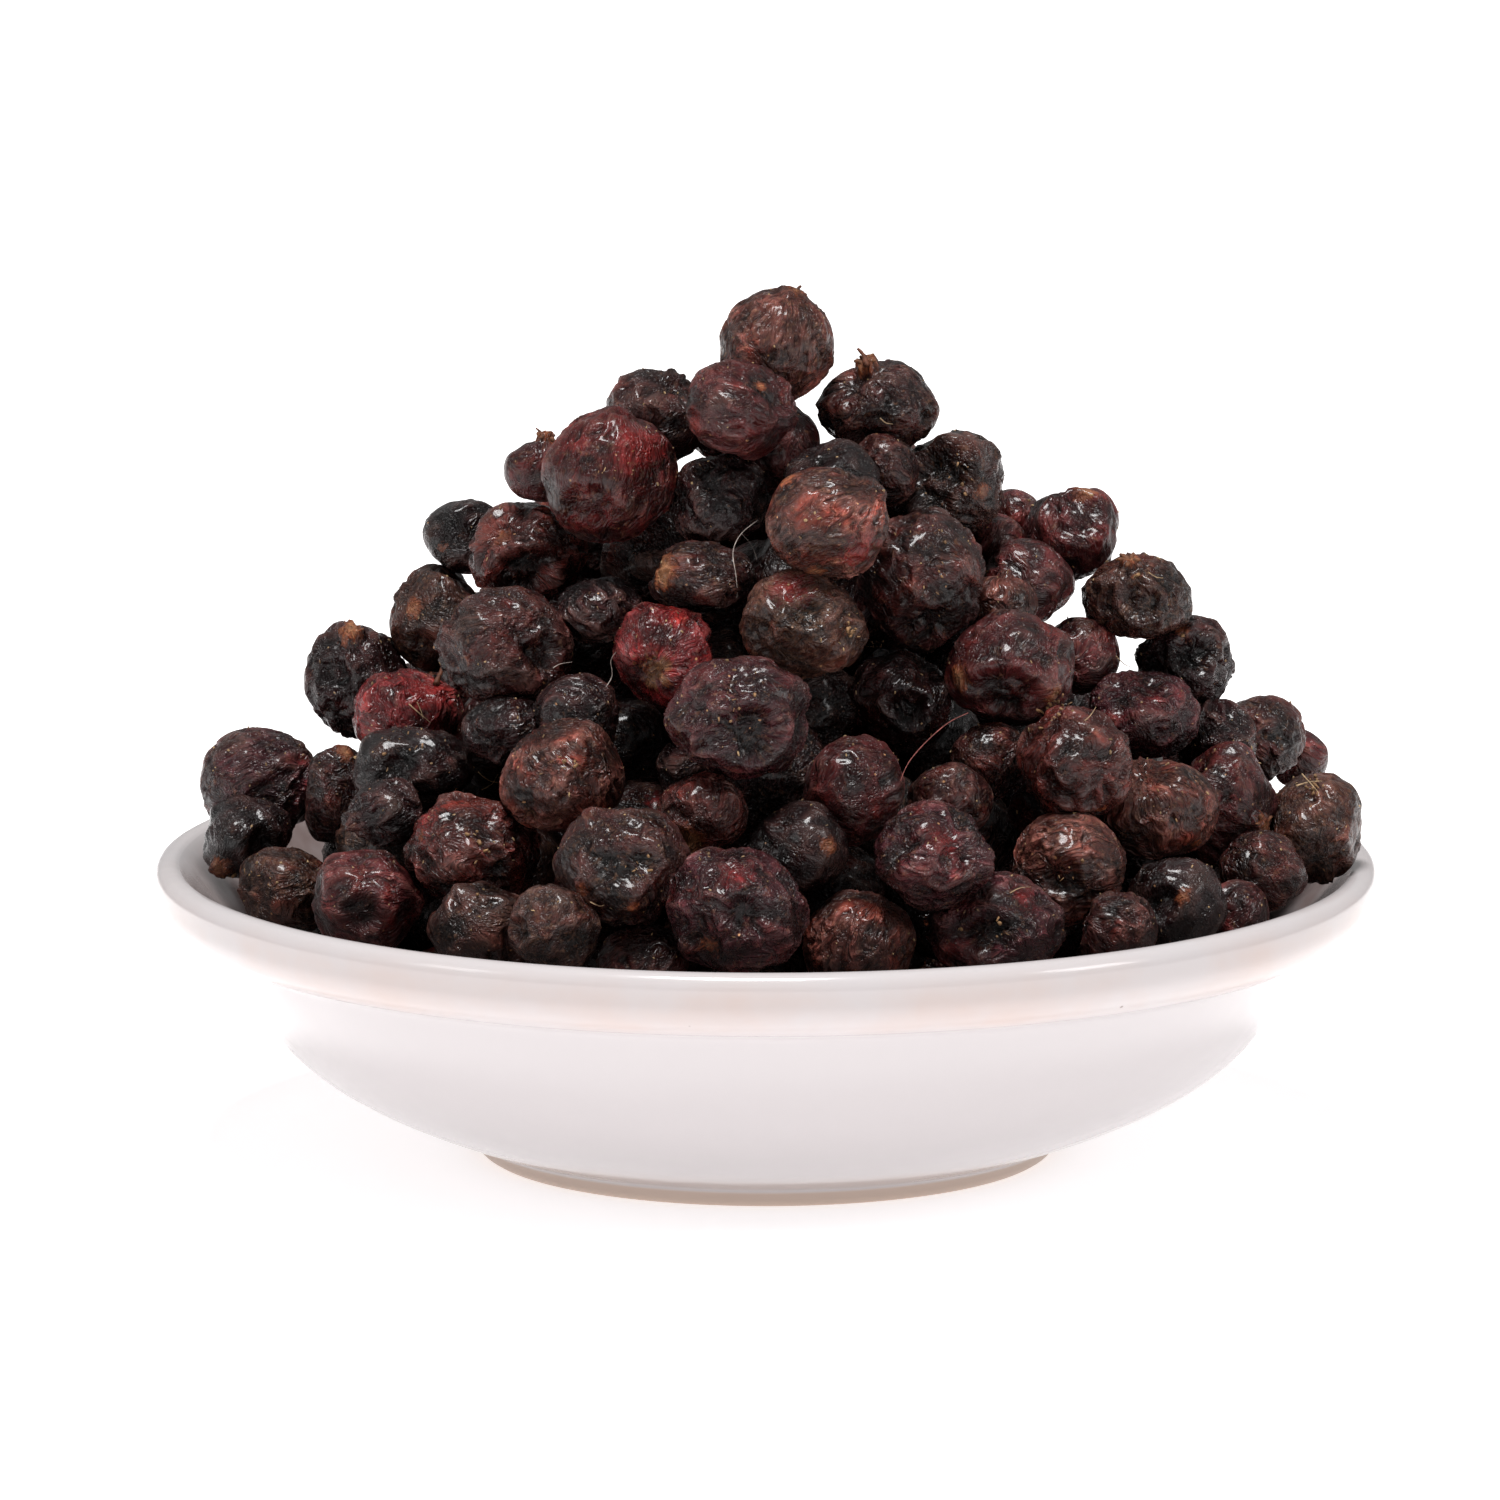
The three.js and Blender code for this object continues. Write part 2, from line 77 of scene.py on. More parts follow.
# The cherries that the photograph shows: the column and row of the middle, the width and height in pixels,
# how many millimetres it stands nearer than the heap's slope, and its look
seenCherries = [
    (778, 346, 112, 114, 0, "fineBrown"),
    (742, 410, 108, 101, 3, "maroon"),
    (876, 404, 113, 93, 1, "dark"),
    (656, 417, 100, 95, -2, "dark"),
    (775, 447, 88, 88, -7, "maroon"),
    (832, 486, 100, 94, -2, "blackSmooth"),
    (604, 473, 131, 132, 3, "redSmooth"),
    (538, 470, 70, 66, -3, "maroon"),
    (726, 503, 98, 88, 0, "blackRidged"),
    (825, 522, 122, 108, 2, "fineBrown"),
    (953, 487, 112, 112, 1, "greyFolded"),
    (885, 468, 70, 70, -5, "dark"),
    (1013, 519, 60, 60, -5, "maroon"),
    (1074, 535, 98, 100, 0, "maroon"),
    (1028, 582, 90, 86, 0, "maroon"),
    (992, 546, 66, 66, -4, "maroon"),
    (924, 578, 124, 134, 2, "dark"),
    (1135, 596, 104, 94, -2, "greyFolded"),
    (1186, 664, 94, 92, -3, "blackRidged"),
    (1014, 673, 125, 118, 2, "maroon"),
    (1082, 654, 76, 78, -3, "maroon"),
    (1002, 606, 72, 66, -4, "fineBrown"),
    (905, 700, 100, 96, -1, "blackRidged"),
    (1142, 716, 118, 92, 0, "purple"),
    (1077, 763, 110, 116, 1, "maroonRidged"),
    (705, 580, 108, 80, 0, "dark"),
    (803, 628, 128, 104, 2, "brownDusty"),
    (667, 656, 106, 118, 1, "redWrinkled"),
    (603, 609, 90, 70, -2, "blackRidged"),
    (469, 528, 84, 77, -2, "blackSmooth"),
    (530, 553, 114, 102, 1, "maroonRidged"),
    (440, 617, 96, 104, -1, "brownDusty"),
    (505, 647, 126, 122, 3, "dark"),
    (350, 684, 100, 106, -2, "blackRidged"),
    (405, 712, 106, 92, -1, "redWrinkled"),
    (578, 716, 84, 80, -4, "blackRidged"),
    (505, 732, 84, 70, -5, "blackRidged"),
    (740, 717, 139, 128, 3, "purple"),
    (560, 777, 120, 116, 1, "fineBrown"),
    (416, 770, 126, 96, 1, "blackSmooth"),
    (392, 812, 80, 66, 0, "blackRidged"),
    (337, 794, 76, 100, -1, "dark"),
    (259, 784, 118, 108, -2, "purple"),
    (246, 838, 96, 88, 1, "blackSmooth"),
    (287, 890, 100, 96, 1, "brownDusty"),
    (366, 904, 106, 116, 2, "maroon"),
    (473, 848, 132, 120, 2, "maroonRidged"),
    (482, 930, 104, 96, 3, "greyFolded"),
    (554, 928, 92, 90, 2, "greyFolded"),
    (622, 864, 130, 122, 1, "dark"),
    (738, 907, 140, 132, 4, "purple"),
    (795, 848, 114, 92, -1, "blackSmooth"),
    (856, 788, 96, 108, 1, "maroon"),
    (860, 945, 114, 104, 2, "fineBrown"),
    (642, 970, 92, 88, 3, "dark"),
    (700, 812, 88, 80, -5, "maroonRidged"),
    (688, 768, 66, 66, -4, "blackRidged"),
    (950, 798, 84, 84, -4, "dark"),
    (935, 854, 123, 106, 2, "purple"),
    (996, 932, 144, 116, 3, "purple"),
    (1068, 872, 115, 112, 2, "fineBrown"),
    (1158, 812, 117, 102, 2, "fineBrown"),
    (1222, 805, 102, 124, 0, "maroon"),
    (1258, 741, 92, 88, -2, "dark"),
    (1218, 742, 84, 78, -3, "blackRidged"),
    (1299, 758, 59, 60, -5, "maroon"),
    (1314, 828, 96, 110, 0, "brownDusty"),
    (1176, 908, 100, 104, 1, "blackSmooth"),
    (1236, 914, 66, 66, 0, "maroon"),
    (1048, 812, 74, 70, -4, "dark"),
    (1118, 930, 82, 80, -2, "dark"),
    (1262, 870, 84, 76, -4, "dark"),
    (990, 762, 78, 78, -5, "dark"),
]

# Columns and rows where the background shows between cherries
gapPlaces = [(814, 424), (686, 474), (1078, 604), (1125, 660), (331, 743)]

# The heap, a cone with a round top, and how its unseen cherries are laid
heap = {
    "top": 82.5,  # where the cone's top, its foot and the foot's radius are
    "foot": 30.5,
    "footRadius": 56,
    "roundness": 1.14,
    "cover": 5,  # how far behind the slope the unseen ones stay in front
    "rind": 6,
    "skin": 10,  # a cherry deeper than this counts as deep
    "seed": 20261,
    "onSlope": 132,
    "turn": (-0.7373688780783197, 0.6754902942615238),  # cosine and sine of the golden angle
    "spacing": 13.7,  # of the rows inside the heap, and of their layers
    "layer": 11,
    "lowest": 10.8,
    "layers": 7,
    "rows": 5,
    "rowApart": 0.866,
    "layerShift": 0.58,
    "jitter": 2.2,
    "smallest": 5,  # radius, and how much is added at most
    "spread": 1.5,
    "shapes": [(0.88, 0.12), (0.88, 0.12), (0.85, 0.15)],
    "deepest": 1.12,
    "crowding": 0.8,
    "clearance": 1.2,  # round a gap that shows the background
    "sweep": (-75, 0.5, 260),  # first depth, step and steps of the search along a line of sight
}
settling = {
    "rounds": 420,
    "still": 260,  # rounds without a pull, at the end
    "longest": 0.4,  # the most that one round moves a cherry off a gap or into the heap
    "toSight": 0.25,
    "seenPull": 0.03,
    "pull": 0.004,
    "refresh": 20,
    "reach": 3,
    "gap": 0.3,
    "sink": 0.5,
}
clumping = {"sizes": (4, 5, 7), "most": 58, "near": 2.6}
dents = [(0.15, 0.72), (0.07, 0.25), (0.07, 0.25)]  # depth and edge: stalk's hollow, two pressed sides
dentVary = (0.6, 0.8)  # the least part of that depth, and how much is added at most
tiny = 0.001  # keeps a division by a distance from the axis off nothing

drawn = heap["seed"]


# A seeded draw from 0 to 1, the same as the part's
def draw():
    global drawn
    drawn = (drawn * 16807) % 2147483647
    return drawn / 2147483647


def sizeOf(v):
    return math.sqrt(v[0] * v[0] + v[1] * v[1] + v[2] * v[2])


def between(a, b):
    return [b[0] - a[0], b[1] - a[1], b[2] - a[2]]


def drawWay():
    v = [draw() - 0.5, draw() - 0.5, draw() - 0.5]
    length = sizeOf(v)
    return [value / length for value in v]


# The line of sight through a pixel: a point on it abreast of the axis, and its direction away from the viewer
def sightLine(column, row):
    level = math.sqrt(1 - viewer["sine"] * viewer["sine"])
    across = (column - photo["middle"]) * photo["pixel"]
    up = (photo["middle"] - row) * photo["pixel"]
    x, y, z = viewer["target"]
    point = [x + across, y + up * viewer["sine"], z + up * level]
    eye = [x, y - viewer["distance"] * level, z + viewer["distance"] * viewer["sine"]]
    way = between(eye, point)
    length = sizeOf(way)
    return {"point": point, "way": [value / length for value in way]}


def along(line, depth):
    return [value + line["way"][k] * depth for k, value in enumerate(line["point"])]


def nearestOnLine(line, at):
    v, way = between(line["point"], at), line["way"]
    return along(line, v[0] * way[0] + v[1] * way[1] + v[2] * way[2])


def fromAxis(at):
    return math.sqrt(at[0] * at[0] + at[1] * at[1])


def heapRadius(z):
    rise = (z - heap["foot"]) / (heap["top"] - heap["foot"])
    if rise >= 1:
        return 0
    if rise <= 0:
        return heap["footRadius"]
    return heap["footRadius"] * math.sqrt((1 - rise) * (1 - rise / heap["roundness"]))


# How deep a line of sight meets the heap's slope, or where it passes nearest to it
def slopeDepth(line):
    nearest, found = math.inf, 0
    first, apart, steps = heap["sweep"]
    for step in range(steps):
        depth = first + step * apart
        at = along(line, depth)
        over = fromAxis(at) - heapRadius(at[2])
        if over <= 0:
            return depth
        if over < nearest:
            nearest, found = over, depth
    return found


def placeSeen():
    placed = []
    for column, row, width, height, nearer, look in seenCherries:
        line = sightLine(column, row)
        depth = slopeDepth(line) - nearer
        widest = max(width, height)
        placed.append({
            "at": along(line, depth),
            "radius": (widest / 2) * photo["pixel"] * (1 + depth / viewer["distance"]),
            "shape": [width / widest, (width + height) / (2 * widest), height / widest],
            "line": line,
            "deep": False,
            "look": look,
        })
    return placed


# The inner wall's height at a distance from the axis, and its steepness there
def innerWall(radius):
    away = radius - bowl["bendRadius"]
    root = math.sqrt(away * away + bowl["bend"] * bowl["bend"])
    middle = math.sqrt(bowl["bendRadius"] * bowl["bendRadius"] + bowl["bend"] * bowl["bend"])
    rise = (away + root) - (middle - bowl["bendRadius"])
    return bowl["floor"] + (bowl["wallSlope"] / 2) * rise, (bowl["wallSlope"] / 2) * (1 + away / root)


# How far a point is inside the bowl, square to the inner wall
def wallClearance(at):
    height, slope = innerWall(fromAxis(at))
    return (at[2] - height) / math.sqrt(1 + slope * slope)


# How far from the axis an unseen cherry's middle may be
def unseenLimit(at):
    radius = fromAxis(at) + tiny
    front = max(0, min(1, 0.6 - (1.2 * at[1]) / radius))
    return max(tiny, heapRadius(at[2]) - front * heap["cover"])


# Places over the heap's slope, in a spiral that keeps them evenly apart
def slopePlaces():
    turnX, turnY = heap["turn"]
    x, y, z = 1, 0, heap["top"]
    for k in range(1, heap["onSlope"]):
        radius = heap["footRadius"] * math.sqrt(k / heap["onSlope"])
        x, y = x * turnX - y * turnY, x * turnY + y * turnX
        while heapRadius(z) < radius:
            z -= 0.1
        inwards = 1 - (heap["jitter"] * draw()) / radius
        yield [x * radius * inwards, y * radius * inwards, z]


# Places inside the heap and the bowl, in layers of staggered rows
def corePlaces():
    for layer in range(heap["layers"]):
        for i in range(-heap["rows"], heap["rows"] + 1):
            for j in range(-heap["rows"], heap["rows"] + 1):
                odd = layer % 2
                x = (i + 0.5 * odd + 0.5 * (abs(j) % 2)) * heap["spacing"] + (draw() - 0.5) * heap["jitter"]
                y = (j * heap["rowApart"] + heap["layerShift"] * odd) * heap["spacing"]
                y += (draw() - 0.5) * heap["jitter"]
                z = heap["lowest"] + layer * heap["layer"] + (draw() - 0.5) * heap["jitter"]
                if heapRadius(z) - math.sqrt(x * x + y * y) > heap["rind"]:
                    yield [x, y, z]


def placeUnseen(seen):
    found = []
    for at in [*slopePlaces(), *corePlaces()]:
        away = fromAxis(at)
        deep = heapRadius(at[2]) - away > heap["skin"] or at[2] < heap["foot"] - heap["skin"]
        radius = (heap["smallest"] + draw() * heap["spread"]) * (heap["deepest"] if deep else 1)
        shape = [least + draw() * more for least, more in heap["shapes"]]
        if away > unseenLimit(at) + 0.01 or wallClearance(at) < radius * 0.3:
            continue
        if any(sizeOf(between(one["at"], at)) < (one["radius"] + radius) * heap["crowding"]
               for one in [*seen, *found]):
            continue
        found.append({"at": at, "radius": radius, "shape": shape, "line": None, "deep": deep, "look": None})
    return found


def shift(point, way, step):
    point[0] += way[0] * step
    point[1] += way[1] * step
    point[2] += way[2] * step


def keepInBowl(one):
    x, y, z = one["at"]
    short = one["radius"] + settling["gap"] - wallClearance(one["at"])
    if short <= 0:
        return
    radius = math.sqrt(x * x + y * y) + tiny
    slope = innerWall(radius)[1]
    length = math.sqrt(1 + slope * slope)
    shift(one["at"], [(-x / radius) * (slope / length), (-y / radius) * (slope / length), 1 / length], short)


def keepInHeap(one):
    radius = fromAxis(one["at"]) + tiny
    over = radius - unseenLimit(one["at"])
    if over > 0:
        shift(one["at"], [one["at"][0] / radius, one["at"][1] / radius, 0], -min(settling["longest"], over))


def keepOffGap(one, line):
    way = between(nearestOnLine(line, one["at"]), one["at"])
    away = sizeOf(way) + tiny
    short = one["radius"] + heap["clearance"] - away
    if short > 0:
        shift(one["at"], way, min(short, settling["longest"]) / away)


# The direction from one cherry to another, and the space between them
def facing(a, b):
    v = between(a["at"], b["at"])
    apart = sizeOf(v)
    x, y, z = v[0] / apart, v[1] / apart, v[2] / apart
    halves = []
    for one in (a, b):
        p, q, r = one["shape"][0] * x, one["shape"][1] * y, one["shape"][2] * z
        halves.append(one["radius"] * math.sqrt(p * p + q * q + r * r))
    return (x, y, z), apart - halves[0] - halves[1]


def findPairs(all, reach):
    pairs = []
    for i, one in enumerate(all):
        for j in range(i + 1, len(all)):
            if sizeOf(between(one["at"], all[j]["at"])) < one["radius"] + all[j]["radius"] + reach:
                pairs.append((i, j))
    return pairs


# Lets the cherries settle. They are pulled down and inwards or, where seen, along their line of sight, and
# pushed apart where they would overlap. Those that are stuck together are held so.
def settle(all, stuck):
    lines = [sightLine(column, row) for column, row in gapPlaces]
    pairs = []
    for turn in range(settling["rounds"] + settling["still"]):
        if turn % settling["refresh"] == 0:
            pairs = findPairs(all, settling["reach"])
        for one in all if turn < settling["rounds"] else []:
            at = one["at"]
            if one["line"]:
                shift(at, one["line"]["way"], settling["seenPull"] if at[1] < 0 else -settling["seenPull"])
            else:
                radius = fromAxis(at) + tiny
                shift(at, [-at[0] / radius, -at[1] / radius, -1], settling["pull"])
        for i, j in pairs:
            way, free = facing(all[i], all[j])
            held = (i, j) in stuck
            short = (-settling["sink"] if held else settling["gap"]) - free
            if short > 0 or held:
                shift(all[i]["at"], way, -short / 2)
                shift(all[j]["at"], way, short / 2)
        for one in all:
            if one["line"]:
                aside = between(one["at"], nearestOnLine(one["line"], one["at"]))
                shift(one["at"], aside, settling["toSight"])
            else:
                keepInHeap(one)
                for line in lines:
                    keepOffGap(one, line)
            keepInBowl(one)


# Sorts the cherries into clumps that stick together, the closest neighbours first
def findClumps(all):
    clumpOf = [[i] for i in range(len(all))]
    stuck = set()
    close = [(facing(all[i], all[j])[1], i, j) for i, j in findPairs(all, clumping["near"])]
    close = sorted((entry for entry in close if entry[0] < clumping["near"]), key=lambda entry: entry[0])
    count = len(all)
    for most in clumping["sizes"]:
        for free, i, j in close:
            if count == clumping["most"] or clumpOf[i] is clumpOf[j]:
                continue
            if len(clumpOf[i]) + len(clumpOf[j]) > most:
                continue
            joined = [*clumpOf[i], *clumpOf[j]]
            for k in joined:
                clumpOf[k] = joined
            stuck.add((i, j))
            count -= 1
    clumps = []
    for members in clumpOf:
        if not any(members is other for other in clumps):
            clumps.append(members)
    return clumps, stuck


def layCherries():
    seen = placeSeen()
    cherries = [*seen, *placeUnseen(seen)]
    settle(cherries, set())
    clumps, stuck = findClumps(cherries)
    settle(cherries, stuck)
    for one in cherries:
        one["dents"] = []
        for depth, edge in dents:
            way = drawWay()
            one["dents"].append((way, depth * (dentVary[0] + dentVary[1] * draw())))
    return cherries, clumps


# An sRGB hex colour as the linear colour that a shader reads
def colour(hexText):
    channels = [int(hexText[k:k + 2], 16) / 255 for k in (1, 3, 5)]
    return tuple(c / 12.92 if c <= 0.04045 else ((c + 0.055) / 1.055) ** 2.4 for c in channels) + (1.0,)


# Short names of the nodes that come up often, and the setting that is given as a second word
nodeKinds = {
    "math": ("ShaderNodeMath", "operation"),
    "vector": ("ShaderNodeVectorMath", "operation"),
    "range": ("ShaderNodeMapRange", "interpolation_type"),
    "mix": ("ShaderNodeMix", "data_type"),
    "noise": ("ShaderNodeTexNoise", "noise_type"),
    "cells": ("ShaderNodeTexVoronoi", "feature"),
    "bump": ("ShaderNodeBump", None),
    "parts": ("ShaderNodeSeparateXYZ", None),
    "joined": ("ShaderNodeCombineXYZ", None),
    "channels": ("ShaderNodeSeparateColor", "mode"),
    "attribute": ("ShaderNodeAttribute", "attribute_name"),
    "given": ("GeometryNodeInputNamedAttribute", "data_type"),
    "stored": ("GeometryNodeStoreNamedAttribute", "data_type"),
    "compare": ("FunctionNodeCompare", "operation"),
    "random": ("FunctionNodeRandomValue", "data_type"),
}


# Gives a node's inputs their values: a number, a hex colour, or the node or output that it is linked to
def feed(node, inputs):
    for key, value in inputs.items():
        if isinstance(value, bpy.types.Node):
            value = next(output for output in value.outputs if output.enabled)
        if isinstance(value, bpy.types.NodeSocket):
            node.id_data.links.new(value, node.inputs[key])
        else:
            isColour = isinstance(value, str) and value.startswith("#")
            node.inputs[key].default_value = colour(value) if isColour else value
    return node


# Adds a node. Values go to its open inputs in order, then the named ones. Settings are its own properties.
def addNode(tree, kind, *values, inputs=None, **settings):
    kind, _, word = kind.partition(" ")
    kind, wordSetting = nodeKinds.get(kind, (kind, None))
    node = tree.nodes.new(kind)
    if word:
        settings[wordSetting] = word
    for name, value in settings.items():
        setattr(node, name, value)
    places = [k for k, socket in enumerate(node.inputs) if socket.enabled]
    return feed(node, {**dict(zip(places, values)), **(inputs or {})})


# A new material, its Principled shader, and the function that adds nodes to it
def newMaterial(name, settings):
    material = bpy.data.materials.new(name)
    material.use_nodes = True
    tree = material.node_tree
    tree.nodes.clear()
    shader = addNode(tree, "ShaderNodeBsdfPrincipled", inputs=settings)
    addNode(tree, "ShaderNodeOutputMaterial", shader)
    return material, shader, partial(addNode, tree)


# A new tree for a Geometry Nodes modifier, with named inputs, and the function that adds nodes to it
def newGeometryTree(name, sockets):
    tree = bpy.data.node_groups.new(name, "GeometryNodeTree")
    tree.interface.new_socket("Geometry", in_out="INPUT", socket_type="NodeSocketGeometry")
    for label, kind, value in sockets:
        tree.interface.new_socket(label, in_out="INPUT", socket_type=kind).default_value = value
    tree.interface.new_socket("Geometry", in_out="OUTPUT", socket_type="NodeSocketGeometry")
    return tree, tree.nodes.new("NodeGroupInput"), tree.nodes.new("NodeGroupOutput"), partial(addNode, tree)


# A mesh of bare points or edges that a tree starts from, with a value of each attribute for every point
def pointMesh(name, points, edges=(), attributes=()):
    mesh = bpy.data.meshes.new(name)
    mesh.from_pydata(points, edges, [])
    for label, kind, values in attributes:
        layer = mesh.attributes.new(label, kind, "POINT")
        if kind == "FLOAT_VECTOR":
            layer.data.foreach_set("vector", [part for value in values for part in value])
        else:
            layer.data.foreach_set("value", values)
    return mesh


def addPiece(name, mesh):
    piece = bpy.data.objects.new(name, mesh)
    scene.collection.objects.link(piece)
    return piece


# Runs a tree on a mesh and returns what it makes as a plain object
def bake(name, mesh, tree, inputs, keep):
    source = addPiece(name + "Source", mesh)
    modifier = source.modifiers.new("tree", "NODES")
    modifier.node_group = tree
    for item in tree.interface.items_tree:
        if item.item_type == "SOCKET" and item.in_out == "INPUT" and item.name in inputs:
            modifier[item.identifier] = inputs[item.name]
    made = bpy.data.meshes.new_from_object(source.evaluated_get(bpy.context.evaluated_depsgraph_get()))
    made.name = name
    bpy.data.objects.remove(source)
    kept = {*keep, "material_index", "sharp_face"}
    for label in [a.name for a in made.attributes if not (a.is_required or a.is_internal or a.name in kept)]:
        made.attributes.remove(made.attributes[label])
    if made.materials and made.materials[0] is None:
        made.materials.pop(index=0)
    return addPiece(name, made)


# Names a piece's body and hides the nodes that it stands for
def settlePiece(piece, nodes=()):
    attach(piece, "root")
    if nodes:
        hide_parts(*nodes)


noiseSpan = (0.35, 0.65)  # most of a noise's values lie in this range
noiseReach = (0.3, 0.7)  # and nearly all in this one


# How far a noise is from its middle value: none along lines that wind through it
def awayFromMiddle(add, noise):
    return add("math ABSOLUTE", add("math SUBTRACT", noise, 0.5))


# Small round specks, on a share of the places of an even scatter: 1 on a speck and 0 off it
def scatterSpecks(add, place, spacing, size, bareShare):
    cells = add("cells", place, 1 / spacing)
    dot = add("range", cells, *size, 1, 0)
    chosen = add("math GREATER_THAN", add("channels", cells.outputs["Color"]), bareShare)
    return add("math MULTIPLY", dot, chosen)


# White glazed stoneware: the glaze is glossy and a little warm where it runs thin over the rim, with a few
# dark specks of iron, and the foot ring is wiped bare. Below the lip the inner wall has painted shade and
# painted reflection of the dark cherries, with some fruit-juice stain
whiteware = {
    "glaze": "#beb9ba",
    "thin": "#bfaea8",  # the warm tint of the rim band
    "speck": "#6b5a50",
    "foot": "#c3b0a3",
    "stain": "#4b302b",  # painted shade and painted reflection of the cherries on the inner wall below the lip, with some fruit dust and juice
    "patch": 14 * mm,  # between the soft patches of the tint
    "thinFrom": (22.2 * mm, 23.8 * mm),  # the heights between which the tint comes in
    "thinTo": (27.2 * mm, 29.2 * mm),  # and those between which it fades
    "thinTop": 0.25,  # how much of it is left on the rim's top
    "thinPatches": (0.38, 0.68, 0.15, 0.85),  # the range of a noise, and the shares that it is turned into
    # the spacing of specks, their edge in parts of it, and the share of places that stay bare
    "specks": (7 * mm, (0.022, 0.034), 0.62),
    "speckDepth": 0.6,
    "wiped": (1.7 * mm, 1.4 * mm),
    "rough": (0.17, 0.65),  # of the glaze and of the bare foot
    "stainShadePatches": (0.36, 0.66, 0.48, 0.8),
    "wave": 9 * mm,  # between the waves in the glaze
    "waveHeight": 0.6 * mm,
    "waveStrength": 0.25,
    "stainShadeBelow": 0.5,  # mm below the mouth where the painted shade and stain start
    "stainShadeEdge": 1.5,
    "stainShadeFoot": 2,  # the height in mm where it ends, and how far above that it is full
    "stainShadeRise": 22,
}


def glazeMaterial():
    material, shader, add = newMaterial("glazedWhiteStoneware", {
        "IOR": 1.5,
        "Coat Weight": 0.2,
        "Coat Roughness": 0.06,
    })
    place = add("ShaderNodeTexCoord").outputs["Object"]
    height = add("parts", place).outputs[2]
    patches = add("noise", place, 1 / whiteware["patch"], 4, 0.6)
    thin = add("math MULTIPLY", add("range", height, *whiteware["thinFrom"], 0, 1),
               add("range", height, *whiteware["thinTo"], 1, whiteware["thinTop"]))
    thin = add("math MULTIPLY", thin, add("range", patches, *whiteware["thinPatches"]))
    speck = scatterSpecks(add, place, *whiteware["specks"])
    speck = add("math MULTIPLY", speck, whiteware["speckDepth"])
    bare = add("range", height, *whiteware["wiped"], 0, 1)
    # Painted shade and reflection of the dark cherries, with some juice stain, in patches on the inner wall
    # below the lip
    stainShadePatchy = add("range", patches, *whiteware["stainShadePatches"])
    stain = add("math MULTIPLY", add("attribute stain").outputs["Fac"], stainShadePatchy)
    tint = whiteware["glaze"]
    for amount, layer in ((thin, "thin"), (speck, "speck"), (bare, "foot"), (stain, "stain")):
        tint = add("mix RGBA", amount, tint, whiteware[layer])
    waves = add("noise", place, 1 / whiteware["wave"], 2)
    feed(shader, {
        "Base Color": tint,
        "Roughness": add("range", bare, 0, 1, *whiteware["rough"]),
        "Normal": add("bump", inputs={"Height": waves, "Strength": whiteware["waveStrength"],
                                      "Distance": whiteware["waveHeight"]}),
    })
    return material


# A smooth line through points of a section, that keeps both ends
def smoothLine(points, steps):
    ends = [points[0], *points, points[-1]]
    line = []
    for k in range(1, len(ends) - 2):
        a, b, c, d = (Vector(p) for p in ends[k - 1:k + 3])
        for step in range(steps):
            t = step / steps
            line.append(tuple(0.5 * (2 * b + (c - a) * t + (2 * a - 5 * b + 4 * c - d) * t * t
                                     + (3 * b - a - 3 * c + d) * t ** 3)))
    return [*line, points[-1]]


innerRadii = [58, 57.6, 57.2, 56.8, 56.2, *range(55, 1, -2)]  # where the section follows the inner wall


def bowlSection():
    a, b, c, d = (Vector(p) for p in bowl["body"])
    body = []
    for step in range(bowl["bodySteps"]):
        t = step / bowl["bodySteps"]
        body.append(tuple(a * (1 - t) ** 3 + b * 3 * t * (1 - t) ** 2 + c * 3 * t * t * (1 - t) + d * t ** 3))
    inner = [(radius, innerWall(radius)[0]) for radius in innerRadii]
    lip = smoothLine([bowl["mouth"], bowl["lip"], bowl["crest"], *bowl["rim"]], bowl["lipSteps"])
    foot = smoothLine([bowl["body"][3], *bowl["foot"]], bowl["footSteps"])
    under = [*bowl["footFace"], bowl["hollowEdge"],
             (bowl["footInnerRadius"] - bowl["footHollow"], bowl["footHollow"])]
    return [*reversed(inner), *lip, *bowl["step"], *body, *foot, *under]


# Turns the section round the axis, closed at both poles
def turnBowl():
    section = bowlSection()
    count, segments = len(section), bowl["segments"]
    points = [(0, 0, bowl["floor"] * mm)]
    stainAndShadeAmounts = []
    # Painted shade and reflection on the inner wall, with some juice stain: full just below the lip, fading
    # down the wall
    lip = bowl["mouth"][1] - whiteware["stainShadeBelow"]
    for k, (radius, height) in enumerate(section):
        below = (lip - height) / whiteware["stainShadeEdge"]
        above = (height - whiteware["stainShadeFoot"]) / whiteware["stainShadeRise"]
        stainAndShadeAmounts.append(max(0, min(1, below, above)) if k < len(innerRadii) else 0)
    for segment in range(segments):
        angle = 2 * math.pi * segment / segments
        for radius, height in section:
            wave = bowl["unevenness"] * math.sin(bowl["waves"] * angle + height * bowl["waveTwist"])
            out = (radius + (wave if height > bowl["evenBelow"] else 0)) * mm
            points.append((out * math.cos(angle), out * math.sin(angle), height * mm))
    points.append((0, 0, bowl["footHollow"] * mm))
    faces = []
    for segment in range(segments):
        here, there = 1 + segment * count, 1 + ((segment + 1) % segments) * count
        faces.append((0, here, there))
        faces.append((len(points) - 1, there + count - 1, here + count - 1))
        for k in range(count - 1):
            faces.append((here + k, here + k + 1, there + k + 1, there + k))
    mesh = bpy.data.meshes.new("glazedBowl")
    mesh.from_pydata(points, [], faces)
    mesh.shade_smooth()
    mesh.attributes.new("stain", "FLOAT", "POINT").data.foreach_set("value", [0, *(stainAndShadeAmounts * segments), 0])
    mesh.materials.append(glazeMaterial())
    settlePiece(addPiece("glazedBowl", mesh), ["bowl"])


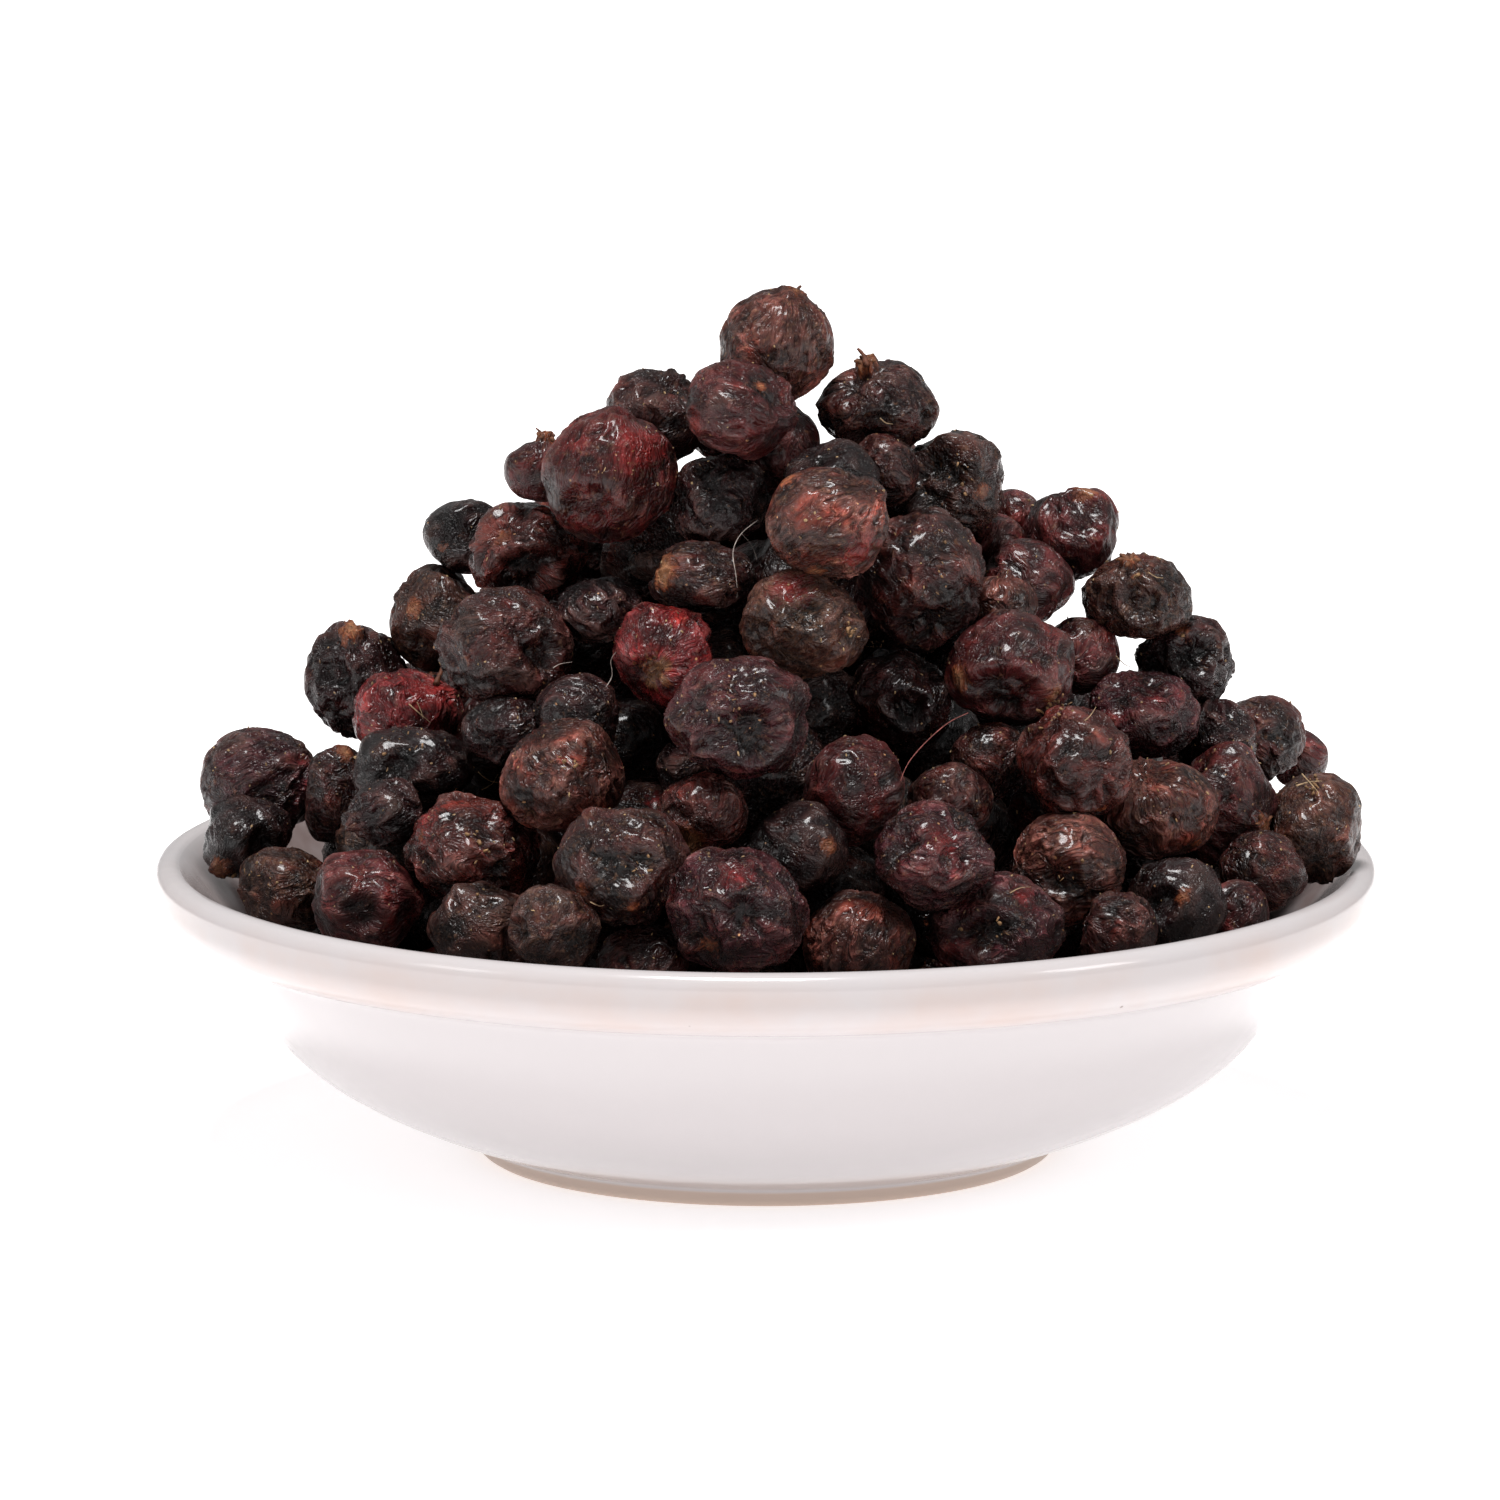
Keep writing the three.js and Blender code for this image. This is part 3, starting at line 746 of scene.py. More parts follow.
# What each kind of dried cherry looks like: its skin's colour, its gloss, how much tan dust lies on it, the
# depth (mm) and width of its hollows, the height (mm), spacing and lengthwise draw of its ridges, its lumps,
# and how slack its skin is, which gives the fine folds
looks = {
    "fineBrown": ("#46241f", 0.4, 0.5, (0.3, 4.6), (0.45, 1.15, 0.75), 0.3, 1.1),
    "maroon": ("#42191a", 0.55, 0.3, (0.5, 4.4), (0.5, 2.2, 0.5), 0.4, 0.6),
    "maroonRidged": ("#431d1a", 0.75, 0.2, (0.6, 4.2), (0.75, 2.3, 0.45), 0.4, 0.8),
    "dark": ("#321716", 0.6, 0.35, (0.6, 4.6), (0.6, 2.2, 0.35), 0.5, 0.7),
    "blackSmooth": ("#1f1011", 0.85, 0.1, (0.8, 5.6), (0.3, 3.2, 0.3), 0.6, 0.2),
    "blackRidged": ("#241112", 0.85, 0.15, (0.7, 4.2), (0.85, 2.1, 0.4), 0.45, 0.7),
    "greyFolded": ("#301b18", 0.65, 0.45, (0.8, 4.8), (0.55, 2.4, 0.3), 0.6, 0.5),
    "brownDusty": ("#3b201a", 0.45, 0.65, (0.6, 4.2), (0.5, 2.0, 0.3), 0.5, 0.5),
    "purple": ("#35161a", 0.65, 0.3, (0.7, 4.8), (0.55, 2.5, 0.25), 0.5, 0.8),
    "redSmooth": ("#481616", 0.4, 0.35, (0.4, 5.4), (0.4, 1.6, 0.6), 0.4, 0.6),
    "redWrinkled": ("#5a191b", 0.6, 0.2, (0.5, 4.2), (0.55, 1.9, 0.7), 0.45, 0.8),
}
usualLooks = ["fineBrown", "maroon", "maroon", "dark", "dark", "blackRidged", "blackRidged", "blackSmooth",
              "greyFolded", "brownDusty", "brownDusty", "maroonRidged", "maroonRidged", "purple", "purple"]

# The scars and patches that the photograph shows: column, row, width in millimetres and colour
marks = [
    (765, 380, 1.8, "rust"), (790, 482, 2.4, "rust"), (815, 572, 2.2, "rust"), (982, 492, 1.9, "rust"),
    (1085, 492, 2.6, "rust"), (1136, 577, 1.1, "tan"), (1184, 633, 1.1, "tan"), (962, 678, 3.2, "rust"),
    (1056, 694, 2.6, "tan"), (661, 572, 5.2, "tan"), (650, 672, 2.2, "tan"), (442, 548, 1.1, "rust"),
    (345, 752, 2.6, "rust"), (410, 606, 2.6, "rust"), (222, 865, 2.4, "rust"), (417, 835, 1.4, "rust"),
    (585, 888, 1.3, "rust"), (686, 840, 4.2, "rust"), (630, 905, 1.4, "rust"), (705, 950, 2.3, "rust"),
    (827, 845, 2.3, "rust"),
    (1200, 845, 1.5, "tan"), (1103, 812, 1.3, "rust"), (1183, 897, 1.9, "rust"), (852, 632, 0.9, "tan"),
    (735, 873, 2.2, "red"), (945, 838, 3.0, "red"), (1025, 895, 1.8, "red"), (790, 588, 3.6, "red"),
    (420, 825, 3.4, "red"), (430, 690, 4.5, "red"), (640, 440, 6.0, "red"), (860, 550, 3.0, "red"),
]

# Where the photograph shows a stalk's end: column, row, and how far (mm) its nub stands out, or is sunk in
stalkEnds = [
    (793, 296, 0.5), (866, 362, 1.3), (352, 637, 1.2), (438, 674, 1.0), (1262, 824, 0.7), (650, 672, -0.6),
    (705, 950, -0.8), (545, 438, 0.8), (222, 868, 0.7), (690, 848, 0.9), (500, 535, -0.5), (1130, 560, 0.7),
]

# The deep hollows that the photograph shows: column, row, width and depth in millimetres
hollowPlaces = [
    (752, 735, 7.6, 1.7), (935, 478, 8.0, 1.5), (776, 388, 7.0, 0.9), (925, 628, 7.0, 1.2),
    (1008, 700, 8.0, 1.3), (527, 574, 7.5, 1.6), (332, 676, 4.5, 0.9), (590, 508, 7.0, 0.7),
    (876, 430, 6.0, 0.8), (1075, 512, 7.0, 1.0), (910, 712, 5.5, 1.1), (545, 655, 5.0, 0.9),
    (625, 865, 6.5, 1.2), (515, 932, 3.5, 0.9), (1160, 905, 5.0, 0.9), (705, 615, 5.0, 0.8),
    (810, 612, 5.0, 0.9), (1140, 600, 5.0, 1.0), (1195, 655, 5.0, 1.0), (266, 845, 5.0, 1.0),
    (400, 765, 5.0, 0.9), (1060, 880, 5.0, 0.8), (985, 935, 6.0, 1.1), (740, 915, 5.0, 0.8),
    (365, 915, 5.0, 0.7),
]

# Millimetres between the features that the skin's textures draw, its colours, and how strongly each shows.
# Four numbers are the range of what is read and the range that it is turned into.
skin = {
    "patch": 3.2,
    "fold": 2.3,
    "crinkle": 0.6,
    "grain": 0.24,
    "specks": (1.9, (0.05, 0.09), 0.7),  # as on the glaze
    "rust": "#733a20",
    "tan": "#a97c58",
    "red": "#6a1b1a",
    "bloomAndPaintedSheen": "#7e6157",  # the greyish film on the crests: part real bloom, part painted sheen
    "dust": "#866048",
    "warm": (2.3, 1.15, 0.85),  # how the flesh brightens the skin's red, green and blue
    "redder": (0.52, 0.7, 0, 0.7),
    "patchTone": (0.3, 1.65),  # how dark and how light the patches are
    # how strongly the crests get the bloom and painted sheen
    "crestSheen": (0.6, 1, 0, 0.1),
    "paintedReliefShade": (0.05, 0.9, 0.14, 1.45),  # painted shade in the creases and deep hollows, painted highlight on the crests
    "dustGain": (0.22, 0.375),  # how much of the skin dust covers: by the cherry's own dust, and always
    "fleck": 0.625,
    "dusty": (0.8, 0, 0.52),
    "frayed": 1.3,  # mm that the edges of marks wander, scars half as far
    "blushed": (1, -1.4, 0, 0.8),
    "scarred": (0.1, -0.45, 0, 0.85),
    "paled": (-0.5, -1.3, 0, 0.6),
    "slack": (0.4, 0.62, 0.2, 1.1),
    "rough": (0.42, 0.18),  # of dull and of glossy skin
    "dustRough": 0.5,
    "scarRough": 0.3,
    "foldEdge": 0.1,
    "foldLinePaintedHighlight": (0.78, 2.5),  # the skin between the folds, and the painted highlight on their lines
    "crinkleEdge": 0.13,
    "crinkleHeight": 0.24,
    "grainHeight": 0.14,
    "relief": 0.46 * mm,
    # faces along the edge of the cube that is rounded to a cherry
    "faces": {"Seen faces": 25, "Outer faces": 20, "Deep faces": 9},
}

# What each point of the skin tells the material, and the output that it is read from
skinValues = {"skinPlace": "Vector", "foldPlace": "Vector", "tone": "Vector", "gloss": "Fac", "dust": "Fac",
              "slack": "Fac", "ridge": "Fac", "scar": "Fac", "blush": "Fac"}


def skinMaterial():
    # The skin of a dried sour cherry: thin and leathery over dried sugar, near black with red and brown
    # showing through, glossy on its crests and dull in its creases, with painted shade in its creases and
    # painted highlight on its crests
    material, shader, add = newMaterial("driedCherrySkin", {
        "IOR": 1.45,
        "Specular IOR Level": 0.3,
        "Coat Weight": 0.22,
        "Coat Roughness": 0.13,
    })
    read = {label: add(f"attribute {label}").outputs[output] for label, output in skinValues.items()}
    place, foldPlace = read["skinPlace"], read["foldPlace"]
    patches = add("noise", place, 1 / skin["patch"], 3)
    hue = add("channels", patches.outputs["Color"]).outputs
    toned = add("vector SCALE", read["tone"], add("range", patches, *noiseSpan, *skin["patchTone"]))
    redder = add("range", hue[1], *skin["redder"])
    reddened = add("mix RGBA", redder, toned, add("vector MULTIPLY", toned, skin["warm"]))
    # Painted sheen with some real bloom: the crests are mixed towards the greyish bloom colour
    crest = add("range", read["ridge"], *skin["crestSheen"])
    crestSheen = add("mix RGBA", crest, reddened, skin["bloomAndPaintedSheen"])
    # Painted shade and highlight: the colour darkens in creases and deep hollows and lightens on crests
    shaded = add("vector SCALE", crestSheen, add("range", read["ridge"], *skin["paintedReliefShade"]))

    fine = add("noise", place, 1 / skin["fleck"], 5, 0.7)
    dustEdge = add("math SUBTRACT", 1, add("math MULTIPLY_ADD", read["dust"], *skin["dustGain"]))
    dusty = add("range", fine, dustEdge, *skin["dusty"])
    speck = scatterSpecks(add, place, *skin["specks"])
    frayed = add("range", fine, *noiseReach, -skin["frayed"], skin["frayed"])
    blush = add("range", add("math ADD", read["blush"], frayed), *skin["blushed"])
    scarEdge = add("math MULTIPLY_ADD", frayed, 0.5, read["scar"])
    scar = add("range", scarEdge, *skin["scarred"])
    pale = add("range", scarEdge, *skin["paled"])
    scarTint = add("mix RGBA", pale, skin["rust"], skin["tan"])
    layers = ((dusty, skin["dust"]), (speck, skin["tan"]), (blush, skin["red"]), (scar, scarTint))
    tint = shaded
    for amount, layer in layers:
        tint = add("mix RGBA", amount, tint, layer)
    rough = add("range", read["gloss"], 0, 1, *skin["rough"])
    rough = add("math MULTIPLY_ADD", dusty, skin["dustRough"], rough)

    # Thin folds with flat skin between them, their lines painted lighter as a painted highlight, fine
    # crinkles and grain
    folds = add("noise", foldPlace, 1 / skin["fold"], 2.5, 0.6, inputs={"Distortion": 0.6})
    folded = add("range", awayFromMiddle(add, folds), 0, skin["foldEdge"], 1, 0)
    slack = add("math MULTIPLY", add("range", hue[2], *skin["slack"]), read["slack"])
    folded = add("math MULTIPLY", folded, slack)
    crinkles = add("noise", foldPlace, 1 / skin["crinkle"], 2)
    crinkled = add("range", awayFromMiddle(add, crinkles), 0, skin["crinkleEdge"], 0, skin["crinkleHeight"])
    grain = add("noise", place, 1 / skin["grain"], 1)
    relief = add("math ADD", folded, add("math MULTIPLY_ADD", grain, skin["grainHeight"], crinkled))
    feed(shader, {
        "Base Color": add("vector SCALE", tint, add("range", folded, 0, 1, *skin["foldLinePaintedHighlight"])),
        "Roughness": add("math MULTIPLY_ADD", scar, skin["scarRough"], rough),
        "Normal": add("bump", inputs={"Height": relief, "Strength": 1, "Distance": skin["relief"]}),
    })
    return material


# Where a line of sight first meets a cherry: how deep, and the direction there on the cherry as a round ball
def hitCherry(line, one):
    reach = [one["radius"] * part for part in one["shape"]]
    start = [(p - q) / r for p, q, r in zip(line["point"], one["at"], reach)]
    way = [w / r for w, r in zip(line["way"], reach)]
    a = sum(w * w for w in way)
    b = sum(s * w for s, w in zip(start, way))
    inside = b * b - a * (sum(s * s for s in start) - 1)
    if inside < 0:
        return None
    depth = (-b - math.sqrt(inside)) / a
    return depth, [s + w * depth for s, w in zip(start, way)]


# The nearest cherry through a pixel: its number, the depth there and the direction on it
def nearestCherry(cherries, column, row):
    line = sightLine(column, row)
    hits = [(hitCherry(line, one), k) for k, one in enumerate(cherries)]
    hits = [(hit[0], k, hit[1]) for hit, k in hits if hit]
    return min(hits) if hits else None


# The stalk's way, turned until it is seen from beside
def besideView(one):
    pole, sight = Vector(one["dents"][0][0]), Vector(one["line"]["way"])
    pole -= sight * pole.dot(sight)
    return list((pole.normalized() - sight * 0.2).normalized())


# How the look of each cherry is drawn about its kind's
drawing = {
    "seed": 7,
    "vary": (0.8, 1.25),  # of its shade, gloss, dust and hollows
    "deepPaintedShade": 0.25,  # painted shade: the deep ones get a darker tone, as little light comes to them
    "seenShade": 0.8,
    "unseenShade": (0.55, 0.3),
    "nubs": [0, 0, 0.25, 0.5, 0.8],  # mm that the stalk's end stands out
    "drift": 60,
    "scars": [0, 1, 1, 2],
    "scarWidth": (0.8, 2.0),
    "blushShare": 0.35,
    "blushWidth": (2, 5),
    "stalkScar": 1.6,
}


# A direction on a cherry and a width, for a mark or a patch that the photograph doesn't give
def drawMark(chance, widths):
    return [chance.gauss(0, 1) for _ in range(3)], chance.uniform(*widths)


# Gives each cherry its look. What the photograph doesn't show is drawn.
def dressCherries(cherries):
    chance = random.Random(drawing["seed"])
    for one in cherries:
        known = one["look"]
        tint, gloss, dust, (hollow, width), ridges, lumps, slack = looks[known or chance.choice(usualLooks)]
        vary = [chance.uniform(*drawing["vary"]) for _ in range(4)]
        least, more = drawing["unseenShade"]
        shade = drawing["seenShade"] if known else least + more * vary[0]
        # Painted shade: a deep cherry's tone is darkened, as little light reaches it inside the heap
        if one["deep"]:
            shade = drawing["deepPaintedShade"]
        one["tone"] = [part * shade for part in colour(tint)[:3]]
        one["gloss"] = gloss * vary[1] ** 0.5
        one["dust"] = dust * vary[2]
        one["hollows"] = (hollow * vary[3], width * vary[0] ** 0.5, lumps * vary[1])
        one["ridges"] = ridges
        one["slack"] = slack * vary[0]
        one["pole"] = besideView(one) if known else one["dents"][0][0]
        one["nub"] = chance.choice(drawing["nubs"])
        one["drift"] = [chance.uniform(-drawing["drift"], drawing["drift"]) for _ in range(3)]
        one["scars"] = []
        one["blushes"] = []
        one["pits"] = []
        if not known:
            for _ in range(chance.choice(drawing["scars"])):
                one["scars"].append(drawMark(chance, drawing["scarWidth"]))
            if chance.random() < drawing["blushShare"]:
                one["blushes"].append(drawMark(chance, drawing["blushWidth"]))
    for column, row, width, kind in marks:
        found = nearestCherry(cherries, column, row)
        if found:
            cherries[found[1]]["blushes" if kind == "red" else "scars"].append((found[2], width))
    for column, row, height in stalkEnds:
        found = nearestCherry(cherries, column, row)
        if found:
            one = cherries[found[1]]
            one["pole"] = list(Vector(found[2]).normalized())
            one["nub"] = height
            one["scars"].insert(0, (found[2], drawing["stalkScar"] + abs(height)))
    for column, row, width, depth in hollowPlaces:
        found = nearestCherry(cherries, column, row)
        if found:
            cherries[found[1]]["pits"].append((found[2], width, depth))


# A mark as one vector: its direction on the cherry, as long as its radius
def markVector(marksOfKind, k):
    if k >= len(marksOfKind):
        return (0, 0, 0)
    way, width = marksOfKind[k][:2]
    return tuple(Vector(way).normalized() * (width / 2))


# The values that each cherry's point brings to the tree or to its skin, by their kind
pointValues = {
    "INT": ["level"],
    "FLOAT": ["radius", "nub", "pitDepth", "gloss", "dust", "slack"],
    "FLOAT_VECTOR": ["middle", "shape", "stalkWay", "sideWayA", "sideWayB", "depths", "hollows", "ridges",
                     "pole", "drift", "pit", "scarA", "scarB", "blushA", "tone"],
}


def cherryPoints(name, members):
    for one in members:
        one["level"] = 0 if one["deep"] else 2 if one["line"] else 1
        one["middle"] = [part * mm for part in one["at"]]
        one["stalkWay"], one["sideWayA"], one["sideWayB"] = [way for way, depth in one["dents"]]
        one["depths"] = [depth for way, depth in one["dents"]]
        one["pitDepth"] = one["pits"][0][2] if one["pits"] else 0
        for label, kept, k in (("pit", "pits", 0), ("scarA", "scars", 0), ("scarB", "scars", 1),
                               ("blushA", "blushes", 0)):
            one[label] = markVector(one[kept], k)
    attributes = []
    for kind, labels in pointValues.items():
        attributes += [(label, kind, [one[label] for one in members]) for label in labels]
    return pointMesh(name, [one["middle"] for one in members], attributes=attributes)


# How a cherry dries, in millimetres that the skin is lifted or sunken. Warp, patch and the scales are in
# features to a millimetre. Four numbers are the range of what is read and the range that it is turned into.
drying = {
    "faceSpread": 0.7854,  # radians, an eighth of a turn: it makes a cube's faces even once it is rounded
    "warp": 0.28,
    "lumpScale": 0.17,
    "lumps": (0.3, 0.62, -1.2, 0.3),
    "small": (3, 6, 0.35, 1),  # radii between which the drying grows from a third to its full depth
    "hollowWarp": 6,
    "hollowRound": 0.12,
    "crest": (0.1, 0.75, 0, 1),
    "poleWidth": 0.3,
    "foldWarp": 3.2,
    "patch": 0.3,
    # size and share of the ridges, and the patch values between which they rise
    "ridgeSizes": [(1, 1, 0.36, 0.6), (0.5, 0.42, 0.6, 0.42)],
    "ridgeEdge": 0.3,
    "ridgeLeast": 0.1,
    "pleatRing": (0.12, 1.5),
    "pleatReach": (0.76, 0.96),  # how near the pole they fade and are full, 1 at the pole
    "pleatDepth": (0.16, -0.25, 0.05),
    "nubReach": (0.955, 0.992),
    "nubScale": 1.1,
    "nubFray": 0.02,
    "starNub": (-0.6, 0.05),  # a stalk's end sunk this far, give or take, has a pale star round it
    "starRays": (0.02, 0.1, 1, 0),
    "starReach": -2.2,
    "scarLift": (0.3, -0.3, 0, 0.1),
    "pitWarp": 0.35,
    "pitShape": (0.5, 1, -1, 0.25),
    "pitLip": 1.35,
    "usualLift": 0.22,
    "mostLift": 0.8,
    "darkCrest": 0.5,  # the shares of hollows, ridges and deep hollows in the relief that paints the skin's shade and highlight
    "darkRidge": 0.6,
    "darkPit": 0.35,
}
crumbs = {
    "perSquareMetre": 60000.0,
    "size": 0.18 * mm,
    "smallest": (0.5, 0.35, 0.2),
    "largest": (1.7, 1.0, 0.5),
    "turn": (6.28, 6.28, 6.28),
    "lowestSide": -0.1,  # how far down a side may face that still catches some
    "dark": "#4a2f22",
    "pale": "#b8996f",
    "patch": 1.5 * mm,
}


# The tree that grows a cherry on each point. A ball is set to the solid's form, with its stalk's hollow and
# pressed sides, and then shrinks as the fruit dries: lumps, hollows with sharp crests between them, ridges
# from pole to pole, pleats round the stalk's end and its nub, and a deep hollow where one is seen.
def cherryTree(skinLook, crumbLook):
    tree, entry, exit, add = newGeometryTree("dryCherries", [
        *((label, "NodeSocketInt", count) for label, count in skin["faces"].items()),
        ("Crumbs per square metre", "NodeSocketFloat", crumbs["perSquareMetre"]),
        ("Crumb size", "NodeSocketFloat", crumbs["size"]),
        ("Seed", "NodeSocketInt", 1),
    ])
    enter = entry.outputs
    given = {"skin": add("given FLOAT_VECTOR", "skin")}
    for kind, labels in pointValues.items():
        for label in labels:
            if label not in skinValues:
                given[label] = add(f"given {kind}", label)
    place = add("GeometryNodeInputPosition")
    turned = add("FunctionNodeAlignRotationToVector", inputs={"Vector": given["pole"]}, axis="Z")

    # A ball of each fineness: a cube whose faces are even once it is rounded
    balls = add("GeometryNodeJoinGeometry")
    for level, label in enumerate(["Deep faces", "Outer faces", "Seen faces"]):
        count = add("math ADD", enter[label], 1)
        cube = add("GeometryNodeMeshCube", (2, 2, 2), count, count, count)
        spread = add("vector TANGENT", add("vector MULTIPLY", place, [drying["faceSpread"]] * 3))
        ball = add("GeometryNodeSetPosition", inputs={
            "Geometry": cube.outputs["Mesh"], "Position": add("vector NORMALIZE", spread)})
        ball = add("stored FLOAT_VECTOR", inputs={"Geometry": ball, "Name": "skin", "Value": place})
        here = add("compare EQUAL", given["level"], level, data_type="INT")
        placed = add("GeometryNodeInstanceOnPoints", inputs={
            "Points": enter["Geometry"], "Selection": here, "Instance": ball, "Rotation": turned})
        feed(balls, {0: placed})
    geometry = add("GeometryNodeRealizeInstances", balls)

    # The solid's form
    way = add("vector SUBTRACT", place, given["middle"])
    depths = add("parts", given["depths"]).outputs
    pressed = None
    for label, depth, (_, edge) in zip(["stalkWay", "sideWayA", "sideWayB"], depths, dents):
        near = add("vector DOT_PRODUCT", way, given[label])
        dent = add("range SMOOTHSTEP", near, edge, 1, 0, depth)
        pressed = add("math ADD", pressed, dent) if pressed else dent
    left = add("math SUBTRACT", 1, pressed)

    # The skin's own place, in millimetres
    ownPlace = add("vector SCALE", given["skin"], given["radius"])
    drifted = add("vector ADD", ownPlace, given["drift"])
    warp = add("vector SUBTRACT", add("noise", drifted, drying["warp"], 1).outputs["Color"], (0.5, 0.5, 0.5))
    x, y, poleward = add("parts", given["skin"]).outputs
    ring = add("joined", x, y, 0)
    ringSize = add("vector LENGTH", ring)
    hollowDepth, hollowWidth, lumpHeight = add("parts", given["hollows"]).outputs
    ridgeHeight, ridgeSpacing, lengthwise = add("parts", given["ridges"]).outputs
    lumps = add("range", add("noise", drifted, drying["lumpScale"], 0), *drying["lumps"])
    lumps = add("math MULTIPLY", lumps, lumpHeight)

    # Broad hollows, where the skin has sunk between the places that the stone holds out
    hollowPlace = add("vector MULTIPLY_ADD", warp, [drying["hollowWarp"]] * 3, drifted)
    cells = add("cells SMOOTH_F1", hollowPlace, add("math DIVIDE", 1, hollowWidth),
                inputs={"Smoothness": drying["hollowRound"]})
    crest = add("range", cells, *drying["crest"])
    sunken = add("math MULTIPLY", add("math SUBTRACT", crest, 1), hollowDepth)

    # The place drawn out from pole to pole, on which ridges of two sizes run. They rise and fade in patches.
    drawnOut = add("math DIVIDE", 1, add("math MAXIMUM", ringSize, drying["poleWidth"]))
    across = add("mix FLOAT", lengthwise, 1, drawnOut)
    stretch = add("joined", across, across, add("range", lengthwise, 0, 1, 1, drying["poleWidth"]))
    foldPlace = add("vector MULTIPLY_ADD", ownPlace, stretch, given["drift"])
    foldPlace = add("vector MULTIPLY_ADD", warp, [drying["foldWarp"]] * 3, foldPlace)
    patches = add("noise", drifted, drying["patch"], 0)
    ridges = None
    for size, share, low, high in drying["ridgeSizes"]:
        spacing = add("math DIVIDE", 1, add("math MULTIPLY", ridgeSpacing, size))
        net = add("cells DISTANCE_TO_EDGE", foldPlace, spacing)
        edge = add("range SMOOTHERSTEP", net, 0, drying["ridgeEdge"], 1, 0)
        edge = add("math MULTIPLY", edge, add("range", patches, low, high, drying["ridgeLeast"], share))
        ridges = add("math MAXIMUM", ridges, edge) if ridges else edge
    raised = add("math MULTIPLY", ridges, ridgeHeight)

    # Pleats drawn in round the stalk's end, and its nub
    inmost, pleatScale = drying["pleatRing"]
    pleatRing = add("math DIVIDE", pleatScale, add("math MAXIMUM", ringSize, inmost))
    pleatPlace = add("vector ADD", add("vector SCALE", ring, pleatRing), given["drift"])
    pleatAway = awayFromMiddle(add, add("noise", pleatPlace, 1, 1))
    pleatHere = add("range SMOOTHSTEP", poleward, *drying["pleatReach"], 0, 1)
    pleats = add("math MULTIPLY", add("range", pleatAway, 0, *drying["pleatDepth"]), pleatHere)
    frayed = add("noise", drifted, drying["nubScale"], 2)
    frayed = add("range", frayed, *noiseReach, -drying["nubFray"], drying["nubFray"])
    nub = add("range SMOOTHSTEP", add("math ADD", poleward, frayed), *drying["nubReach"], 0, given["nub"])

    # How far inside a scar a point is: millimetres from its edge, less than nothing within it
    edges = {}
    for label in ("scarA", "scarB", "blushA"):
        apart = add("vector DISTANCE", way, add("vector NORMALIZE", given[label]))
        apart = add("math MULTIPLY", apart, given["radius"])
        edges[label] = add("math SUBTRACT", apart, add("vector LENGTH", given[label]))
    rays = add("math MULTIPLY", add("range", pleatAway, *drying["starRays"]), pleatHere)
    starred = add("math COMPARE", given["nub"], *drying["starNub"])
    starred = add("math MULTIPLY", starred, drying["starReach"])
    scar = add("math MULTIPLY_ADD", rays, starred, add("math MINIMUM", edges["scarA"], edges["scarB"]))

    # A deep hollow, with its edge a little raised
    pitReach = add("math MAXIMUM", add("vector LENGTH", given["pit"]), 0.01)
    pitApart = add("vector MULTIPLY_ADD", warp, [drying["pitWarp"]] * 3, way)
    pitApart = add("vector DISTANCE", pitApart, add("vector NORMALIZE", given["pit"]))
    pitApart = add("math DIVIDE", add("math MULTIPLY", pitApart, given["radius"]), pitReach)
    pit = add("math MULTIPLY", add("range SMOOTHSTEP", pitApart, *drying["pitShape"]),
              add("range SMOOTHSTEP", pitApart, 1, drying["pitLip"], 1, 0))
    pit = add("math MULTIPLY", pit, given["pitDepth"])

    lift = add("range SMOOTHSTEP", scar, *drying["scarLift"])
    for part in (drying["usualLift"], lumps, sunken, raised, pleats):
        lift = add("math ADD", lift, part)
    lift = add("math MULTIPLY", lift, add("range", given["radius"], *drying["small"]))
    lift = add("math MINIMUM", lift, drying["mostLift"])
    for part in (pit, nub):
        lift = add("math ADD", lift, part)
    reach = add("math MULTIPLY", add("math MULTIPLY_ADD", given["radius"], left, lift), mm)
    offset = add("vector SCALE", add("vector MULTIPLY", way, given["shape"]), reach)

    # The relief that the skin's painted shade and highlight read: lighter on crests and ridges, darker in
    # deep hollows
    ridge = add("math MULTIPLY", crest, drying["darkCrest"])
    ridge = add("math MULTIPLY_ADD", ridges, drying["darkRidge"], ridge)
    ridge = add("math MULTIPLY_ADD", add("math MINIMUM", pit, 0), drying["darkPit"], ridge)
    for label, kind, value in (
        ("skinPlace", "FLOAT_VECTOR", drifted), ("foldPlace", "FLOAT_VECTOR", foldPlace),
        ("ridge", "FLOAT", ridge), ("scar", "FLOAT", scar), ("blush", "FLOAT", edges["blushA"]),
    ):
        geometry = add(f"stored {kind}", inputs={"Geometry": geometry, "Name": label, "Value": value})
    geometry = add("GeometryNodeSetPosition", inputs={
        "Geometry": geometry, "Position": add("vector ADD", given["middle"], offset)})
    geometry = add("GeometryNodeSetShadeSmooth", geometry)
    cherries = add("GeometryNodeSetMaterial", inputs={"Geometry": geometry, "Material": skinLook})

